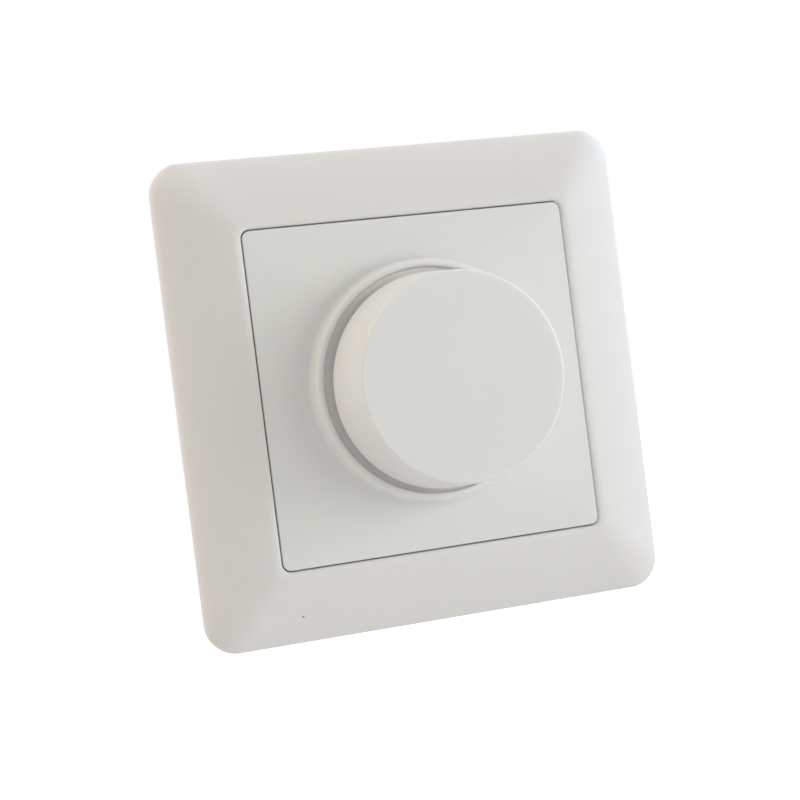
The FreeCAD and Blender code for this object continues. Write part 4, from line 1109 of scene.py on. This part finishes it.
@dataclass
class ReturnSpring:
    """The coil of round wire that brings the knob back, with a closed turn at each end."""

    wire: float = 0.25 * MM  # Radius of the wire.
    coils: int = 3  # Number of open turns.
    travel: float = 1.8 * MM  # How far the push shortens it.
    around: int = 14  # Parts round the wire.
    along: int = 40  # Parts along each turn.

    def __post_init__(self) -> None:
        """Takes the outer sizes from the frame."""
        low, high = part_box("return_spring")
        self.radius: float = high.x - self.wire
        self.front: float = low.y
        self.back: float = high.y

    def line(self) -> list[Vector]:
        """The line that the wire follows, from the fixed end to the sprung one.

        Returns:
            Its points.
        """
        closed = 2 * self.wire
        rise = self.back - self.front - 2 * self.wire
        open_pitch = (rise - 2 * closed) / self.coils
        points: list[Vector] = []
        for step in range((self.coils + 2) * self.along + 1):
            turn = step / self.along
            opened = min(max(turn - 1, 0.0), float(self.coils))
            y = self.back - self.wire - (opened * open_pitch + (turn - opened) * closed)
            angle = 2 * math.pi * turn
            points.append(Vector((self.radius * math.sin(angle), y, self.radius * math.cos(angle))))
        return points

    def build(self) -> None:
        """Builds the spring."""
        line = self.line()
        points: list[Vector] = []
        for index, spot in enumerate(line):
            ahead = (line[min(index + 1, len(line) - 1)] - line[max(index - 1, 0)]).normalized()
            outward = Vector((spot.x, 0.0, spot.z)).normalized()
            across = ahead.cross(outward).normalized()
            for part in range(self.around):
                angle = 2 * math.pi * part / self.around
                points.append(spot + self.wire * (math.cos(angle) * outward + math.sin(angle) * across))
        coil = solid("switch_return_coil", points, skin(len(line), self.around, closed=False))
        place_piece(coil, Body.BASE, Finish.SPRING_STEEL, "return_spring")
        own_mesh(coil)


@dataclass(frozen=True)
class CarriedNodes:
    """The CAD nodes that are shown as they are, with better finishes."""

    def dress(self) -> None:
        """Gives every CAD node the finish of its slot."""
        slots = {part["node"]: part["material_slot"] for part in frame["record"]["subparts"]}
        made: dict[str, Material] = {}
        for name, node in frame["nodes"].items():
            slot = slots[name]
            if slot not in made:
                made[slot] = Finish[slot.upper()].make()
            for place in node.material_slots:
                place.material = made[slot]
            log.info("%s: finished as %s", name, slot)


# Stage


@dataclass(frozen=True)
class Softbox:
    """One soft square lamp that looks at the object."""

    name: str
    place: Triple  # Where it stands.
    power: float  # Its power in watts.
    colour: Colour  # The colour of its light.
    width: float = 0.6

    def build(self) -> None:
        """Adds the lamp to the scene."""
        data = bpy.data.lights.new(self.name, "AREA")
        data.shape = "RECTANGLE"
        data.size = self.width
        data.size_y = self.width
        data.energy = self.power
        data.color = self.colour
        lamp = bpy.data.objects.new(self.name, data)
        bpy.context.scene.collection.objects.link(lamp)
        lamp.location = self.place
        lamp.rotation_mode = "QUATERNION"
        lamp.rotation_quaternion = (-Vector(self.place)).to_track_quat("-Z", "Y")


@dataclass(frozen=True)
class Studio:
    """The white surroundings, the floor, the lamps and the camera."""

    lamps: tuple[Softbox, ...] = (
        Softbox("low_left", (-1.03, 0.375, 0.096), 1.35, (1.0, 0.81, 0.61)),
        Softbox("high_left", (-0.593, 0.216, 0.901), 3.65, (1.0, 0.965, 0.785)),
        Softbox("edge_right", (0.92, 0.247, 0.55), 3.35, (0.52, 0.74, 1.0)),
        Softbox("front", (0.548, -0.949, 0.096), 2.12, (0.85, 1.0, 0.80)),
        Softbox("right", (0.949, -0.548, 0.096), 3.38, (0.87, 0.86, 1.0)),
    )  # The lamps round the object.
    ambient: float = 0.568  # Strength of the light from all sides.
    ambient_colour: Colour = (1.0, 0.933, 0.921)
    floor_low: float = 0.12  # How far the floor lies below the axis.
    floor_size: float = 6.0  # The floor's width.
    floor_dark: Colour = (0.80, 0.80, 0.80)  # The darker colour of its paint.
    floor_light: Colour = (0.82, 0.82, 0.82)  # The lighter one.
    floor_cloud: float = 0.02  # Width of the clouds in it.
    floor_glow: float = 0.68  # How much it glows for the camera.
    lens: float = 75.31  # The camera's focal length in millimetres.
    sensor: float = 36.0  # Its picture's width in millimetres.
    shift: Pair = (-0.001, 0.00075)  # How far the picture is shifted, as shares of its width.
    clip: Pair = (0.01, 20.0)  # The nearest and the farthest distance that it sees.
    place: Triple = (-0.083398, -0.270694, -0.000598)  # Where it stands.
    right: Triple = (0.94974, -0.28680, -0.12543)  # The direction of the picture's right side.
    up: Triple = (0.12218, -0.02926, 0.99208)  # The direction of its upper side.

    def surroundings(self) -> None:
        """White for the camera and for reflections, a plain ambient light for the rest."""
        world = bpy.data.worlds.new("surroundings")
        bpy.context.scene.world = world
        world.use_nodes = True
        tree = Nodes(world.node_tree)
        path = tree.node("ShaderNodeLightPath").outputs
        rays = {0: path["Is Camera Ray"], 1: path["Is Glossy Ray"]}
        seen = tree.node("ShaderNodeMath", rays, operation="MAXIMUM")
        rays = {0: seen.outputs[0], 1: path["Is Transmission Ray"]}
        also = tree.node("ShaderNodeMath", rays, operation="MAXIMUM")
        ambient = {"Color": (*self.ambient_colour, 1.0), "Strength": self.ambient}
        light = tree.node("ShaderNodeBackground", ambient)
        white = tree.node("ShaderNodeBackground", {"Color": (1.0, 1.0, 1.0, 1.0)})
        mix = tree.node("ShaderNodeMixShader", {0: also.outputs[0], 1: light.outputs[0], 2: white.outputs[0]})
        tree.node("ShaderNodeOutputWorld", {"Surface": mix.outputs[0]})

    def floor(self) -> None:
        """A pale floor that looks white to the camera and keeps a soft shadow."""
        half = self.floor_size / 2
        corners = [(-half, -half), (half, -half), (half, half), (-half, half)]
        plane = solid("studio_floor", [(x, y, -self.floor_low) for x, y in corners], [(0, 1, 2, 3)])
        sheet = Sheet("floor_paint")
        path = sheet.node("ShaderNodeLightPath")
        glow = sheet.node("ShaderNodeEmission", {"Strength": self.floor_glow})
        none = sheet.node("ShaderNodeEmission", {"Strength": 0.0})
        ways = {0: path.outputs["Is Camera Ray"], 1: none.outputs[0], 2: glow.outputs[0]}
        choose = sheet.node("ShaderNodeMixShader", ways)
        add = sheet.node("ShaderNodeAddShader", {0: sheet.shader.outputs[0], 1: choose.outputs[0]})
        sheet.feed(sheet.output, {"Surface": add.outputs[0]})
        clouds = sheet.noise(self.floor_cloud, detail=4.0)
        plane.data.materials.append(sheet.finished({
            "Base Color": sheet.blend(clouds, self.floor_dark, self.floor_light),
            "Roughness": 0.9,
            "Specular IOR Level": 0.0,
        }))

    def camera(self) -> None:
        """The camera at the photograph's place: left of the axis, level with it."""
        data = bpy.data.cameras.new("photo_camera")
        data.sensor_width = self.sensor
        data.lens = self.lens
        data.shift_x, data.shift_y = self.shift
        data.clip_start, data.clip_end = self.clip
        camera = bpy.data.objects.new("photo_camera", data)
        bpy.context.scene.collection.objects.link(camera)
        right, up = Vector(self.right), Vector(self.up)
        turn = Matrix((right, up, right.cross(up))).transposed().to_4x4()
        camera.matrix_world = Matrix.Translation(self.place) @ turn
        bpy.context.scene.camera = camera

    def build(self) -> None:
        """Builds the stage."""
        self.surroundings()
        self.floor()
        for lamp in self.lamps:
            lamp.build()
        self.camera()
        bpy.context.scene.view_settings.view_transform = "Standard"


def main() -> None:
    """Builds the dimmer's looks, piece by piece, and the stage round them."""
    logging.basicConfig(level=logging.INFO, format="%(name)s: %(message)s")
    CarriedNodes().dress()
    SurroundFrame().build()
    CoverPlate().build()
    Knob().build()
    ReturnSpring().build()
    Studio().build()


if __name__ == "__main__":
    main()
